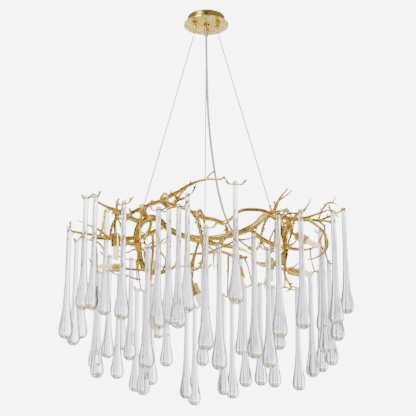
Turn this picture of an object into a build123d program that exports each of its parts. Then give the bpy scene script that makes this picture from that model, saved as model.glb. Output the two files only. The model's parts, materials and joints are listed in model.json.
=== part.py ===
from build123d import *

import math
import os
from dataclasses import dataclass, field

# A brass branch chandelier with hanging glass drops, hung from a round ceiling canopy on three steel cables.
# Millimetres. The origin is on the ceiling, in the middle of the canopy. +Z is up, and the front faces -Y.

# Canopy
PAN_DIAMETER = 104.0
PAN_WALL = 1.2
PAN_LIP_WIDTH = 7.0
PLATE_DIAMETER = 127.0
PLATE_THICKNESS = 2.5
PLATE_EDGE_ROUND = 0.8
PLATE_BOTTOM_Z = -24.0
BRACKET_WIDTH = 22.0
BRACKET_THICKNESS = 2.0
BRACKET_TAB_HEIGHT = 14.0
CEILING_HOLE_SPACING = 60.0
CEILING_HOLE_DIAMETER = 5.0
SIDE_SCREW_DIAMETER = 4.0
SIDE_SCREW_HEAD_DIAMETER = 8.0
SIDE_SCREW_HEAD_LENGTH = 4.0
SIDE_SCREW_DROP = 10.0
TERMINAL_SIZE = (26.0, 16.0, 12.0)
TERMINAL_SCREW_DIAMETER = 4.0
TERMINAL_SCREW_SPACING = 9.0
TURNED_EDGE = 0.8
BRACKET_PLAY = 1.5
SCREW_END = 2.0

# Cable grippers and cable
GRIPPER_RADIUS = 36.5
GRIPPER_ANGLES = (210.0, 330.0, 90.0)
GRIPPER_STUD_DIAMETER = 8.0
GRIPPER_NUT_DIAMETER = 14.0
GRIPPER_NUT_THICKNESS = 3.0
GRIPPER_COLLAR_DIAMETER = 14.5
GRIPPER_COLLAR_LENGTH = 5.0
GRIPPER_BARREL_DIAMETER = 10.5
GRIPPER_BARREL_LENGTH = 13.0
PLUNGER_DIAMETER = 6.0
PLUNGER_PROUD = 5.0
PLUNGER_SEATED = 5.0
PLUNGER_TRAVEL = 2.5
CABLE_DIAMETER = 1.5
CABLE_STUD_TOP_Z = -16.0
CABLE_BEND_RADIUS = 6.0
CABLE_BEND_DROP = 6.0
ANCHOR_SEATS = ((-163.0, -84.0, -584.0), (168.0, -68.0, -578.0), (-4.0, 180.0, -580.0))
ANCHOR_ROOTS = (("main_branch_left", 1, 1), ("main_branch_right", 0, 6), ("main_branch_right", 0, 14))
ANCHOR_DIAMETER = 6.0
ANCHOR_LENGTH = 13.0
ANCHOR_HOLE_DEPTH = 8.0

# Power cord
CORD_DIAMETER = 6.4
GRIP_FLANGE_DIAMETER = 17.0
GRIP_FLANGE_LENGTH = 5.0
GRIP_NOSE_DIAMETER = 10.5
GRIP_NOSE_LENGTH = 14.0
GRIP_STUD_DIAMETER = 10.0
INLET_DIAMETER = 10.5
INLET_LENGTH = 16.0
INLET_HOLE_DEPTH = 10.0
CORD_ROUTE = (
    (0.0, 0.0, -16.0),
    (0.0, 0.0, -78.0),
    (1.5, 1.0, -152.0),
    (3.0, 4.5, -228.0),
    (6.5, 9.0, -302.0),
    (13.0, 15.0, -375.0),
    (23.0, 26.0, -447.0),
    (36.0, 44.0, -513.0),
    (54.0, 70.0, -568.0),
    (78.0, 96.0, -605.0),
    (103.0, 116.0, -625.0),
    (124.0, 131.0, -634.0),
)

# Glass drops
DROP_LENGTH = 290.0
DROP_TOP_DIAMETER = 12.6
DROP_MAX_DIAMETER = 37.0
DROP_TOP_BEVEL = 1.2
DROP_HOLE_BELOW_TOP = 7.0
DROP_FLARE_START = 0.33
DROP_WAIST = (9.9, 0.71)
DROP_SHOULDER = (15.6, 0.86)
DROP_BRIM_LIFT = 2.0
PEG_DIAMETER = 3.2
PEG_HALF_LENGTH = 10.0

# Branch work
TIP_LENGTH = 18.0
TIP_RISE = 14.0
TWIG_RADIUS = 2.3
LINK_RADIUS = 2.3
LINK_BOW = 5.0
SHOULDER_LENGTH = 5.0
PEG_SINK = 3.0
TWIG_THICKENING = 0.9
TWIG_SWELL = (1.0, 0.92, 1.04, 0.93, 1.02, 1.0)
TWIG_LEAVE_SHARE = 0.6
TWIG_FALL_SHARE = 0.55
PAIR_ARRIVAL = (16.0, 18.0)
SINGLE_ARRIVAL = (14.0, 4.0)
STEM_SHARE = 0.8
LAMP_STEM_RADIUS = 4.0
LAMP_STEM_POINTS = 5
INLET_STEM_RADII = (4.2, 4.1, 4.0, 3.9, 3.8)
KNUCKLE_SWELL = 1.09
SLIGHT_TAPER = 0.7

# Lamps
CUP_DIAMETER = 24.0
CUP_LENGTH = 34.0
CUP_WALL = 1.4
CUP_NECK_DIAMETER = 9.0
CUP_NECK_LENGTH = 4.0
CUP_CORNER = 3.0
CUP_FLOOR = 2.4
SOCKET_DIAMETER = 20.5
SOCKET_LENGTH = 26.0
SOCKET_STEP = (3.0, 4.0)
SOCKET_SLOT = (12.5, 6.5, 9.0)
BULB_DIAMETER = 15.0
BULB_GLASS_LENGTH = 36.0
BULB_BASE = (11.5, 5.5, 14.0)
BULB_CORNER = 1.5

# Clearances
RUNNING_CLEARANCE = 0.08
LOOSE_CLEARANCE = 0.3

PLATE_TOP_Z = PLATE_BOTTOM_Z + PLATE_THICKNESS
UP = Vector(0, 0, 1)


@dataclass
class Hanger:
    """One or two drops on one line of pegs, and the twig that carries them.

    hooks holds the angle in degrees, the radius and the height of each hole. The twig leaves its branch at
    the given point of the given stem. sway bends the twig sideways, and rise lifts it on its way out.
    """

    name: str
    branch: str
    stem: int
    root: int
    hooks: tuple
    sway: float = 4.0
    rise: float = 6.0


@dataclass
class Lamp:
    """A lamp cup on its own short stem: the middle of the cup and the way that its mouth points."""

    branch: str
    stem: int
    root: int
    middle: tuple
    axis: tuple


@dataclass
class Branch:
    """Stems of one brass branch. A stem is a list of points, each with its section radius."""

    stems: list = field(default_factory=list)
    coped_by: tuple = ()


BRANCHES = {
    "main_branch_right": Branch(
        [
            [
                (199, -70, -722, 4.2),
                (203, -77, -690, 6.4),
                (200, -82, -648, 8.0),
                (196, -82, -629, 8.4),
                (190, -79, -613, 8.8),
                (181, -74, -600, 9.0),
                (172, -64, -591, 9.2),
                (164, -48, -585, 8.9),
                (158, -28, -581, 8.6),
                (150, 20, -577, 9.0),
                (139, 68, -578, 8.2),
                (118, 112, -582, 8.4),
                (86, 146, -586, 7.4),
                (44, 171, -589, 7.4),
                (-5, 179, -590, 6.4),
                (-52, 172, -585, 5.2),
                (-88, 156, -577, 3.6),
                (-106, 150, -566, 2.4),
            ],
            [(173, -66, -590, 4.6), (178, -92, -577, 3.6), (190, -120, -560, 2.8), (207, -146, -545, 1.7)],
            [(184, -108, -568, 2.4), (202, -116, -556, 2.2), (219, -132, -546, 1.5)],
            [(199, -72, -716, 4.0), (190, -96, -730, 3.2), (170, -112, -738, 2.6), (160, -132, -752, 1.7)],
            [
                (203, -77, -690, 6.2),
                (196, -64, -702, 6.2),
                (184, -40, -710, 6.0),
                (167, -4, -708, 5.6),
                (151, 44, -698, 5.0),
                (138, 82, -685, 4.0),
                (123, 110, -667, 2.2),
            ],
            [
                (164, -48, -585, 4.2),
                (150, -70, -617, 2.8),
                (143, -78, -638, 2.5),
                (143, -80, -662, 2.4),
                (152, -74, -685, 2.4),
                (160, -66, -694, 2.8),
                (171, -58, -681, 2.4),
                (163, -52, -662, 2.3),
                (171, -48, -639, 2.2),
                (178, -46, -624, 1.6),
            ],
            [
                (172, -64, -591, 4.4),
                (185, -84, -588, 3.0),
                (201, -94, -588, 2.7),
                (214, -100, -601, 2.5),
                (221, -104, -624, 2.4),
                (217, -102, -649, 2.3),
                (209, -96, -674, 2.2),
                (204, -90, -689, 1.6),
            ],
        ]
    ),
    "main_branch_left": Branch(
        [
            [
                (-165, -18, -724, 4.2),
                (-171, -28, -690, 6.4),
                (-180, -45, -648, 8.0),
                (-178, -52, -630, 8.4),
                (-172, -58, -615, 8.8),
                (-163, -61, -606, 9.0),
                (-152, -60, -601, 9.2),
                (-142, -52, -597, 8.9),
                (-133, -38, -595, 8.6),
                (-127, -16, -592, 8.8),
                (-122, 10, -590, 9.0),
                (-112, 60, -588, 8.2),
                (-94, 106, -589, 8.4),
                (-62, 146, -593, 7.4),
                (-20, 173, -600, 7.4),
                (30, 187, -607, 6.4),
                (74, 186, -616, 5.4),
                (106, 172, -628, 3.8),
                (128, 160, -645, 2.2),
            ],
            [
                (-152, -62, -600, 5.0),
                (-162, -82, -592, 4.6),
                (-170, -100, -592, 4.0),
                (-186, -112, -598, 2.2),
            ],
            [(-168, -22, -712, 3.8), (-150, -2, -730, 3.0), (-146, 26, -742, 2.4), (-158, 46, -750, 1.6)],
            [
                (-171, -28, -690, 6.2),
                (-165, -20, -713, 6.4),
                (-154, -6, -725, 6.2),
                (-139, 14, -727, 5.8),
                (-116, 40, -719, 5.2),
                (-94, 66, -705, 4.2),
                (-81, 86, -686, 3.2),
                (-79, 98, -666, 2.0),
            ],
            [
                (-142, -52, -597, 4.6),
                (-145, -64, -628, 3.2),
                (-152, -72, -641, 2.8),
                (-156, -76, -656, 2.6),
                (-155, -72, -672, 2.4),
                (-140, -62, -678, 2.4),
                (-136, -50, -699, 2.2),
                (-138, -40, -717, 1.6),
            ],
        ],
        ("main_branch_right",),
    ),
    "front_branch": Branch(
        [
            [
                (-152, -62, -599, 5.0),
                (-158, -94, -588, 4.2),
                (-143, -126, -581, 3.6),
                (-114, -154, -583, 3.8),
                (-76, -184, -600, 3.4),
                (-36, -200, -621, 3.6),
                (-5, -206, -638, 4.6),
                (20, -205, -643, 3.6),
                (42, -200, -649, 4.4),
                (61, -191, -637, 3.4),
                (80, -180, -617, 3.4),
                (122, -142, -600, 3.6),
                (156, -98, -593, 4.2),
                (172, -64, -591, 4.8),
            ],
            [
                (42, -200, -649, 3.4),
                (52, -206, -666, 3.0),
                (47, -215, -692, 2.8),
                (30, -229, -716, 3.0),
                (18, -238, -746, 2.4),
                (20, -244, -772, 1.6),
            ],
            [
                (-36, -200, -621, 3.8),
                (-20, -200, -643, 3.6),
                (-14, -192, -665, 3.5),
                (-10, -180, -690, 3.4),
                (-6, -164, -716, 3.2),
                (-9, -148, -736, 2.8),
                (-19, -134, -749, 2.5),
                (-33, -124, -751, 2.2),
                (-45, -116, -744, 1.5),
            ],
        ],
        ("main_branch_left", "main_branch_right"),
    ),
    "branch_front_left": Branch(
        [
            [
                (-168, -56, -611, 6.2),
                (-200, -82, -602, 5.2),
                (-228, -118, -596, 4.6),
                (-251, -148, -593, 3.6),
                (-270, -170, -588, 2.8),
            ],
            [
                (-200, -82, -602, 4.4),
                (-188, -132, -606, 4.2),
                (-154, -186, -606, 4.0),
                (-112, -226, -602, 4.0),
                (-72, -262, -592, 3.6),
                (-38, -292, -581, 3.2),
                (0, -313, -574, 3.0),
                (36, -328, -578, 2.6),
            ],
            [(-112, -226, -602, 2.6), (-86, -238, -588, 2.2), (-62, -252, -582, 2.0), (-46, -260, -570, 1.4)],
            [(0, -313, -574, 2.4), (10, -318, -563, 2.0), (22, -318, -553, 1.4)],
        ],
        ("main_branch_left",),
    ),
    "branch_left": Branch(
        [
            [
                (-180, -45, -648, 6.0),
                (-216, -42, -650, 5.0),
                (-252, -24, -644, 4.6),
                (-284, 6, -636, 3.8),
                (-306, 42, -628, 3.4),
                (-318, 78, -622, 2.8),
            ],
            [(-252, -24, -644, 3.0), (-282, -38, -624, 2.6), (-310, -46, -612, 2.2), (-334, -40, -600, 1.4)],
        ],
        ("main_branch_left",),
    ),
    "branch_back_left": Branch(
        [
            [
                (-112, 60, -588, 6.2),
                (-146, 92, -597, 5.2),
                (-180, 126, -604, 4.8),
                (-198, 164, -609, 4.0),
                (-198, 202, -612, 3.6),
                (-188, 236, -610, 2.8),
            ],
            [(-198, 164, -609, 3.0), (-222, 176, -602, 2.6), (-246, 196, -590, 2.2), (-262, 202, -574, 1.4)],
        ],
        ("main_branch_left",),
    ),
    "branch_back": Branch(
        [
            [
                (44, 171, -589, 5.8),
                (40, 206, -604, 5.2),
                (34, 236, -612, 4.8),
                (2, 250, -616, 4.0),
                (-30, 256, -618, 3.6),
                (-62, 254, -620, 2.8),
            ],
            [(34, 236, -612, 4.2), (62, 248, -619, 3.8), (88, 266, -623, 3.4), (98, 284, -622, 2.8)],
        ],
        ("main_branch_right", "main_branch_left"),
    ),
    "branch_back_right": Branch(
        [
            [
                (118, 112, -582, 6.2),
                (150, 138, -601, 5.4),
                (185, 164, -613, 5.0),
                (222, 180, -618, 4.2),
                (257, 183, -622, 3.8),
                (286, 176, -624, 3.2),
                (306, 158, -620, 2.6),
            ],
            [(222, 180, -618, 3.0), (236, 204, -606, 2.6), (254, 222, -590, 2.2), (262, 238, -572, 1.4)],
        ],
        ("main_branch_right",),
    ),
    "branch_right": Branch(
        [
            [
                (158, -28, -581, 6.2),
                (196, -32, -589, 5.2),
                (232, -28, -593, 4.8),
                (266, -18, -591, 4.0),
                (295, 2, -589, 3.6),
                (311, 30, -591, 2.8),
            ],
            [
                (232, -28, -593, 4.0),
                (258, -62, -598, 3.4),
                (280, -98, -600, 3.0),
                (296, -128, -602, 2.6),
            ],
            [
                (266, -18, -591, 3.4),
                (294, -42, -618, 3.2),
                (312, -44, -646, 3.2),
                (312, -36, -674, 3.0),
                (290, -30, -694, 2.6),
                (262, -36, -704, 1.8),
            ],
        ],
        ("main_branch_right",),
    ),
    "branch_front_right": Branch(
        [
            [
                (200, -82, -648, 6.0),
                (207, -120, -641, 5.0),
                (206, -158, -637, 4.6),
                (198, -196, -637, 3.8),
                (186, -230, -640, 3.4),
                (170, -256, -640, 2.6),
            ],
            [(206, -158, -637, 3.2), (226, -180, -622, 2.6), (246, -206, -612, 2.0), (256, -226, -596, 1.4)],
        ],
        ("main_branch_right",),
    ),
}

HANGERS = (
    Hanger("drop_front_left_high", "branch_front_left", 0, 4, ((208, 340, -576), (217, 340, -585)), rise=2),
    Hanger("drop_front_left_mid", "branch_front_left", 0, 2, ((232, 320, -617),), rise=10),
    Hanger("drop_front_pair_outer", "branch_front_left", 1, 3, ((251, 340, -651), (260, 358, -653))),
    Hanger("drop_front_pair_inner", "branch_front_left", 1, 4, ((250, 260, -627), (261, 280, -604)), rise=0),
    Hanger("drop_front_high", "branch_front_left", 1, 7, ((281, 358, -598),), rise=4),
    Hanger("drop_front_left_low", "branch_front_left", 1, 2, ((245, 320, -735),)),
    Hanger("drop_front_mid", "front_branch", 0, 6, ((270, 360, -705),)),
    Hanger("drop_front_pair_low", "front_branch", 1, 2, ((275.5, 320, -742), (289, 340, -717))),
    Hanger("drop_left_outer", "branch_left", 0, 2, ((194, 360, -635),)),
    Hanger("drop_left_inner", "branch_left", 0, 3, ((172, 270, -554),), rise=24),
    Hanger("drop_left_pair", "branch_left", 0, 5, ((168, 358, -627), (158, 366, -600)), rise=0),
    Hanger("drop_left_low", "branch_left", 0, 4, ((163, 300, -711),)),
    Hanger("drop_left_pair_low", "branch_left", 0, 5, ((153.5, 335, -680), (148, 282, -706))),
    Hanger("drop_back_left_pair", "branch_back_left", 0, 3, ((147, 320, -647), (138, 282, -651))),
    Hanger("drop_back_left_pair_low", "branch_back_left", 0, 4, ((130.5, 300, -732), (135, 240, -747))),
    Hanger("drop_back_left_outer", "branch_back_left", 0, 5, ((134.3, 340, -615),)),
    Hanger("drop_back_left_low", "branch_back_left", 0, 5, ((120.5, 302, -710),)),
    Hanger("drop_back_left_high", "branch_back_left", 0, 5, ((114, 340, -572),), rise=20),
    Hanger("drop_back_pair_inner", "branch_back", 0, 5, ((115, 262, -662), (92, 280, -655))),
    Hanger("drop_back_pair_low", "branch_back", 0, 4, ((101.5, 282, -746), (96, 322, -760))),
    Hanger("drop_back_right_pair", "branch_back", 1, 1, ((80, 280, -736), (77.3, 340, -740))),
    Hanger("drop_back_high", "branch_back", 1, 3, ((71.8, 320, -621),)),
    Hanger("drop_back_right_inner", "branch_back", 1, 2, ((67, 280, -716), (55, 262, -717))),
    Hanger("drop_right_back_pair_low", "branch_back_right", 0, 3, ((53.7, 322, -717), (42.5, 347, -728))),
    Hanger("drop_right_back_mid", "branch_back_right", 0, 2, ((47.5, 300, -618),)),
    Hanger("drop_right_back_pair", "branch_back_right", 0, 5, ((26.8, 320, -702), (33.4, 380, -681))),
    Hanger("drop_right_back_high", "branch_back_right", 0, 6, ((27.7, 360, -576),), rise=16),
    Hanger("drop_right_pair", "branch_right", 0, 5, ((21, 360, -673), (13, 322, -648))),
    Hanger("drop_right_mid", "branch_right", 0, 4, ((2.5, 340, -625),), sway=7, rise=2),
    Hanger("drop_right_outer", "branch_right", 0, 4, ((6, 372, -550),), rise=14),
    Hanger("drop_right_front", "branch_right", 1, 3, ((333, 355, -613),)),
    Hanger("drop_front_right_pair", "branch_front_right", 0, 4, ((298, 358, -670), (311, 345, -640))),
    Hanger("drop_front_right_low", "branch_front_right", 0, 5, ((302, 280, -727),)),
)

LAMPS = (
    Lamp("branch_front_left", 0, 2, (-229, -104, -668), (0.05, 0.1, -1.0)),
    Lamp("main_branch_left", 2, 1, (-232, 60, -704), (-1.0, 0.05, 0.12)),
    Lamp("main_branch_left", 0, 14, (-31, 200, -733), (0.35, 0.05, -0.93)),
    Lamp("branch_right", 0, 2, (246, -54, -650), (0.85, -0.15, -0.5)),
    Lamp("branch_back_right", 0, 2, (174, 128, -677), (0.05, -0.15, -1.0)),
    Lamp("branch_back_right", 0, 3, (238, 112, -702), (0.97, -0.05, -0.2)),
    Lamp("branch_back_left", 0, 1, (-150, 128, -684), (-0.1, 0.1, -1.0)),
    Lamp("branch_back", 1, 1, (94, 214, -682), (0.2, -0.2, -0.95)),
)


def polar(angle, radius, height):
    """A point from its angle in degrees, radius and height."""
    turn = math.radians(angle)
    return Vector(radius * math.cos(turn), radius * math.sin(turn), height)


def bezier(points, count):
    """Evenly stepped points on the Bezier curve of the given control points."""
    degree = len(points) - 1
    out = []
    for step in range(count):
        t = step / (count - 1)
        spot = Vector(0, 0, 0)
        for i, point in enumerate(points):
            spot += point * (math.comb(degree, i) * t**i * (1 - t) ** (degree - i))
        out.append(spot)
    return out


def tube(route):
    """A twig as a row of cones, or rods where the taper is slight, with a knuckle at each bend.

    route lists a point and a section radius each. The solids overlap, for one fuse.
    """
    solids = []
    ends = []
    for (start, wide), (end, narrow) in zip(route, route[1:]):
        axis = end - start
        plane = Plane(origin=start, z_dir=axis.normalized())
        if abs(wide - narrow) < SLIGHT_TAPER:
            wide = narrow = 0.5 * (wide + narrow)
            solids.append(Solid.make_cylinder(wide, axis.length, plane))
        else:
            solids.append(Solid.make_cone(wide, narrow, axis.length, plane))
        ends.append((wide, narrow))
    for i in range(1, len(route) - 1):
        # the ball's poles lie along the twig, and its seam is on the outside of the bend
        before, point, after = (route[j][0] for j in (i - 1, i, i + 1))
        arrive, leave = (point - before).normalized(), (after - point).normalized()
        outside = arrive - leave if (arrive - leave).length > 0.01 else None
        plane = Plane(origin=point, x_dir=outside, z_dir=arrive + leave)
        knuckle = KNUCKLE_SWELL * max(ends[i - 1][1], ends[i][0])
        solids.append(Solid.make_sphere(knuckle, plane, angle1=-90, angle2=90, angle3=360))
    return solids


def rod(start, end, diameter):
    """A plain round rod between two points."""
    axis = end - start
    return Solid.make_cylinder(diameter / 2, axis.length, Plane(origin=start, z_dir=axis.normalized()))


def stem_route(branch, stem):
    """The points and radii of a branch's stem."""
    return [(Vector(*point[:3]), point[3]) for point in BRANCHES[branch].stems[stem]]


def hook_points(hanger):
    """The middle of the hole of each drop on a hanger."""
    return [polar(*hook) for hook in hanger.hooks]


def peg_axis(hanger):
    """The direction of a hanger's pegs: along the line of a pair, or along the ring, away from its root."""
    hooks = hook_points(hanger)
    if len(hooks) == 2:
        return (hooks[1] - hooks[0]).normalized()
    turn = math.radians(hanger.hooks[0][0])
    axis = Vector(-math.sin(turn), math.cos(turn), 0)
    root = stem_route(hanger.branch, hanger.stem)[hanger.root][0]
    return axis * -1 if (root - hooks[0]).dot(axis) > 0 else axis


def twig_route(hanger):
    """The points of the twig from its branch to the first peg, or to the middle of a pair's link."""
    root, root_radius = stem_route(hanger.branch, hanger.stem)[hanger.root]
    hooks = hook_points(hanger)
    axis = peg_axis(hanger)
    if len(hooks) == 2:
        end = (hooks[0] + hooks[1]) * 0.5 + UP * LINK_BOW
        inward = Vector(root.X - end.X, root.Y - end.Y, 0)
        inward = inward.normalized() if inward.length > 1 else Vector(0, 0, 0)
        back, lift = PAIR_ARRIVAL
        arrive = inward * back + UP * lift
        shoulder = []
    else:
        end = hooks[0] - axis * PEG_HALF_LENGTH
        back, lift = SINGLE_ARRIVAL
        arrive = axis * -back + UP * lift
        shoulder = [(end, TWIG_RADIUS)]
    fall = max(root.Z - end.Z, 0)
    across = Vector(end.X - root.X, end.Y - root.Y, 0)
    side = across.cross(UP).normalized() * hanger.sway if across.length > 1 else Vector(0, 0, 0)
    leave = root + across * TWIG_LEAVE_SHARE + UP * hanger.rise + side
    if shoulder:
        end = end - axis * SHOULDER_LENGTH
    points = bezier([root, leave, end + arrive + UP * (TWIG_FALL_SHARE * fall), end], len(TWIG_SWELL))
    thick = min(STEM_SHARE * root_radius, TWIG_RADIUS + TWIG_THICKENING)
    thin = LINK_RADIUS - 0.2
    count = len(points) - 1
    route = [(point, (thick + (thin - thick) * i / count) * TWIG_SWELL[i]) for i, point in enumerate(points)]
    return route + shoulder


def tip(start, axis):
    """The upturned end of a twig, past the drop that it carries."""
    radius = 0.47 * PEG_DIAMETER
    route = [
        (start - axis, radius),
        (start + axis * 0.2 * TIP_LENGTH, radius),
        (start + axis * 0.6 * TIP_LENGTH + UP * 0.4 * TIP_RISE, 0.95 * radius),
        (start + axis * TIP_LENGTH + UP * TIP_RISE, 0.8 * radius),
    ]
    return tube(route)


def hanger_twig(hanger):
    """The pegs, tips, link and twig of one hanger, as overlapping solids for one fuse."""
    hooks = hook_points(hanger)
    axis = peg_axis(hanger)
    reach = axis * PEG_HALF_LENGTH
    sink = axis * PEG_SINK
    solids = tube(twig_route(hanger))
    if len(hooks) == 1:
        hook = hooks[0]
        solids.append(rod(hook - reach - sink, hook + reach, PEG_DIAMETER))
        return solids + tip(hook + reach, axis)
    start, end = hooks[0] + reach, hooks[1] - reach
    shoulder = axis * SHOULDER_LENGTH
    middle = (start + end) * 0.5 + UP * LINK_BOW
    solids += tube(
        [
            (start, TWIG_RADIUS),
            (start + shoulder, LINK_RADIUS - 0.1),
            (middle, LINK_RADIUS + 0.4),
            (end - shoulder, LINK_RADIUS - 0.1),
            (end, TWIG_RADIUS),
        ]
    )
    solids.append(rod(hooks[0] - reach, hooks[0] + reach + sink, PEG_DIAMETER))
    solids.append(rod(hooks[1] - reach - sink, hooks[1] + reach, PEG_DIAMETER))
    return solids + tip(hooks[0] - reach, axis * -1) + tip(hooks[1] + reach, axis)


def lamp_frame(lamp):
    """The cup's own plane: its origin is the back of the cup, and its Z is the way that the mouth points."""
    axis = Vector(*lamp.axis).normalized()
    return Plane(origin=Vector(*lamp.middle) - axis * (CUP_LENGTH / 2), z_dir=axis)


def lamp_stem(lamp):
    """The short brass stem from a branch to the neck of a lamp cup."""
    root, root_radius = stem_route(lamp.branch, lamp.stem)[lamp.root]
    back = lamp_frame(lamp)
    neck = back.origin - back.z_dir * CUP_NECK_LENGTH
    reach = (neck - root).length
    foot = neck - back.z_dir * SHOULDER_LENGTH
    control = [root, root + (foot - root) * 0.35 + UP * 0.05 * reach, foot - back.z_dir * 0.35 * reach, foot]
    points = bezier(control, LAMP_STEM_POINTS)
    start = min(STEM_SHARE * root_radius, LAMP_STEM_RADIUS)
    end = 0.42 * CUP_NECK_DIAMETER
    route = [(point, start + (end - start) * i / LAMP_STEM_POINTS) for i, point in enumerate(points)]
    return tube(route + [(neck, end)])


def cord_end():
    """Where the power cord stops in its inlet, and the direction that it arrives in."""
    end = Vector(*CORD_ROUTE[-1])
    return end, (end - Vector(*CORD_ROUTE[-2])).normalized()


def inlet_stem():
    """The hooked brass stem that carries the cord inlet."""
    end, arrive = cord_end()
    seat = end + arrive * (INLET_LENGTH - INLET_HOLE_DEPTH + LOOSE_CLEARANCE)
    foot = seat + arrive * SHOULDER_LENGTH
    root = stem_route("branch_back_right", 0)[1][0]
    control = [root, root + Vector(8, 10, -14), foot + arrive * 14 + UP * 12, foot]
    points = bezier(control, len(INLET_STEM_RADII))
    return tube(list(zip(points, INLET_STEM_RADII)) + [(seat, INLET_STEM_RADII[-1] - 0.1)])


def anchor_axis(index):
    """The direction of a cable, from its anchor to its gripper."""
    return (cable_mouth(index) - Vector(*ANCHOR_SEATS[index])).normalized()


def anchor_stem(index, branch, stem, root):
    """The brass stub under a cable anchor."""
    start = stem_route(branch, stem)[root][0]
    seat = Vector(*ANCHOR_SEATS[index])
    foot = seat - anchor_axis(index) * SHOULDER_LENGTH
    radius = 0.55 * ANCHOR_DIAMETER
    return tube([(start, 1.1 * radius), (foot, 1.05 * radius), (seat, radius)])


def branch_groups(name):
    """The stems of one branch, and each twig and stub that grows from it, as groups of overlapping solids."""
    groups = [tube(stem_route(name, i)) for i in range(len(BRANCHES[name].stems))]
    groups += [hanger_twig(hanger) for hanger in HANGERS if hanger.branch == name]
    groups += [lamp_stem(lamp) for lamp in LAMPS if lamp.branch == name]
    for index, (branch, stem, root) in enumerate(ANCHOR_ROOTS):
        if branch == name:
            groups.append(anchor_stem(index, branch, stem, root))
    if name == "branch_back_right":
        groups.append(inlet_stem())
    return groups


def branch_solid(name, others):
    """One brass branch in one piece, coped to the branches that it meets."""
    twigs = [group[0].fuse(*group[1:]) for group in branch_groups(name)]
    whole = twigs[0]
    for twig in twigs[1:]:
        whole = whole.fuse(twig)
    for other in BRANCHES[name].coped_by:
        whole = whole.cut(others[other])
    return whole


def drop_blank():
    """A glass drop, not yet drilled, with its hole's middle at the origin: a rod with a round, heavy end."""
    top = DROP_HOLE_BELOW_TOP
    neck, ball = 0.5 * DROP_TOP_DIAMETER, 0.5 * DROP_MAX_DIAMETER
    bottom = top - DROP_LENGTH
    flare = (neck, top - DROP_FLARE_START * DROP_LENGTH)
    waist = (DROP_WAIST[0], top - DROP_WAIST[1] * DROP_LENGTH)
    shoulder = (DROP_SHOULDER[0], top - DROP_SHOULDER[1] * DROP_LENGTH)
    lift = DROP_BRIM_LIFT
    brim = (math.sqrt(ball**2 - lift**2), bottom + ball + lift)
    with BuildPart() as blank:
        with BuildSketch(Plane.XZ):
            with BuildLine():
                crown = Polyline((0, top), (neck - DROP_TOP_BEVEL, top), (neck, top - DROP_TOP_BEVEL), flare)
                swell = TangentArc(flare, waist, tangent=(0, -1))
                cheek = TangentArc(waist, shoulder, tangent=swell % 1)
                TangentArc(shoulder, brim, tangent=cheek % 1)
                CenterArc((0, bottom + ball), ball, -90, 90 + math.degrees(math.asin(lift / ball)))
                Line((0, bottom), crown @ 0)
            make_face()
        revolve(axis=Axis.Z)
    return blank.part.solids()[0]


def hanger_drops(hanger, blank):
    """The drops of one hanger, each drilled along the peg that it hangs on."""
    axis = peg_axis(hanger)
    drops = []
    for hook in hook_points(hanger):
        reach = axis * DROP_TOP_DIAMETER
        hole = rod(hook - reach, hook + reach, PEG_DIAMETER + 2 * LOOSE_CLEARANCE)
        drops.append((Pos(hook) * blank).cut(hole).solids()[0])
    return drops


def lathe(points, plane=Plane.XY):
    """A turned piece: an outline of radius and height pairs, turned about the plane's Z."""
    outline = Wire.make_polygon([Vector(r, 0, z) for r, z in points], close=True)
    return plane * Solid.revolve(Face(outline), 360, Axis.Z)


def canopy_pan():
    """The canopy's side wall, with a lip inside that the plate is fixed to."""
    outer, inner = 0.5 * PAN_DIAMETER, 0.5 * PAN_DIAMETER - PAN_WALL
    lip = inner - PAN_LIP_WIDTH
    low, shelf = PLATE_TOP_Z, PLATE_TOP_Z + PAN_WALL
    wall = lathe([(outer, 0), (outer, low), (lip, low), (lip, shelf), (inner, shelf), (inner, 0)])
    hole = SIDE_SCREW_DIAMETER + 2 * LOOSE_CLEARANCE
    reach = Vector(0, PAN_DIAMETER, 0)
    level = Vector(0, 0, -SIDE_SCREW_DROP)
    return wall.cut(rod(level - reach, level + reach, hole)).solids()[0]


def canopy_plate():
    """The round plate under the pan, with holes for the grippers and the cord grip."""
    edge, low, top = 0.5 * PLATE_DIAMETER, PLATE_BOTTOM_Z, PLATE_TOP_Z
    soft = PLATE_EDGE_ROUND
    rim = edge - soft
    plate = lathe([(0, low), (rim, low), (edge, low + soft), (edge, top - soft), (rim, top), (0, top)])
    holes = [rod(Vector(0, 0, low - 1), Vector(0, 0, top + 1), GRIP_STUD_DIAMETER)]
    for angle in GRIPPER_ANGLES:
        start, end = polar(angle, GRIPPER_RADIUS, low - 1), polar(angle, GRIPPER_RADIUS, top + 1)
        holes.append(rod(start, end, GRIPPER_STUD_DIAMETER))
    return plate.cut(*holes).solids()[0]


def bracket_reach():
    """How far from the middle the bracket's tabs stand, close inside the pan's wall."""
    return 0.5 * PAN_DIAMETER - PAN_WALL - BRACKET_PLAY


def ceiling_bracket():
    """The strap that is screwed to the ceiling, with a tab at each end for the side screws."""
    reach = bracket_reach()
    thick = BRACKET_THICKNESS
    strap = Box(BRACKET_WIDTH, 2 * reach, thick, align=(Align.CENTER, Align.CENTER, Align.MAX))
    tab = Box(BRACKET_WIDTH, thick, BRACKET_TAB_HEIGHT, align=(Align.CENTER, Align.MAX, Align.MAX))
    shape = strap + Pos(0, reach, 0) * tab + Pos(0, -reach + thick, 0) * tab
    drill = Cylinder(0.5 * CEILING_HOLE_DIAMETER, 3 * thick)
    for side in (-1, 1):
        shape -= Pos(0, side * 0.5 * CEILING_HOLE_SPACING, 0) * drill
    hole = Pos(0, 0, -SIDE_SCREW_DROP) * Rot(90, 0, 0) * Cylinder(0.5 * SIDE_SCREW_DIAMETER, 3 * reach)
    return (shape - hole).solids()[0]


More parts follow.
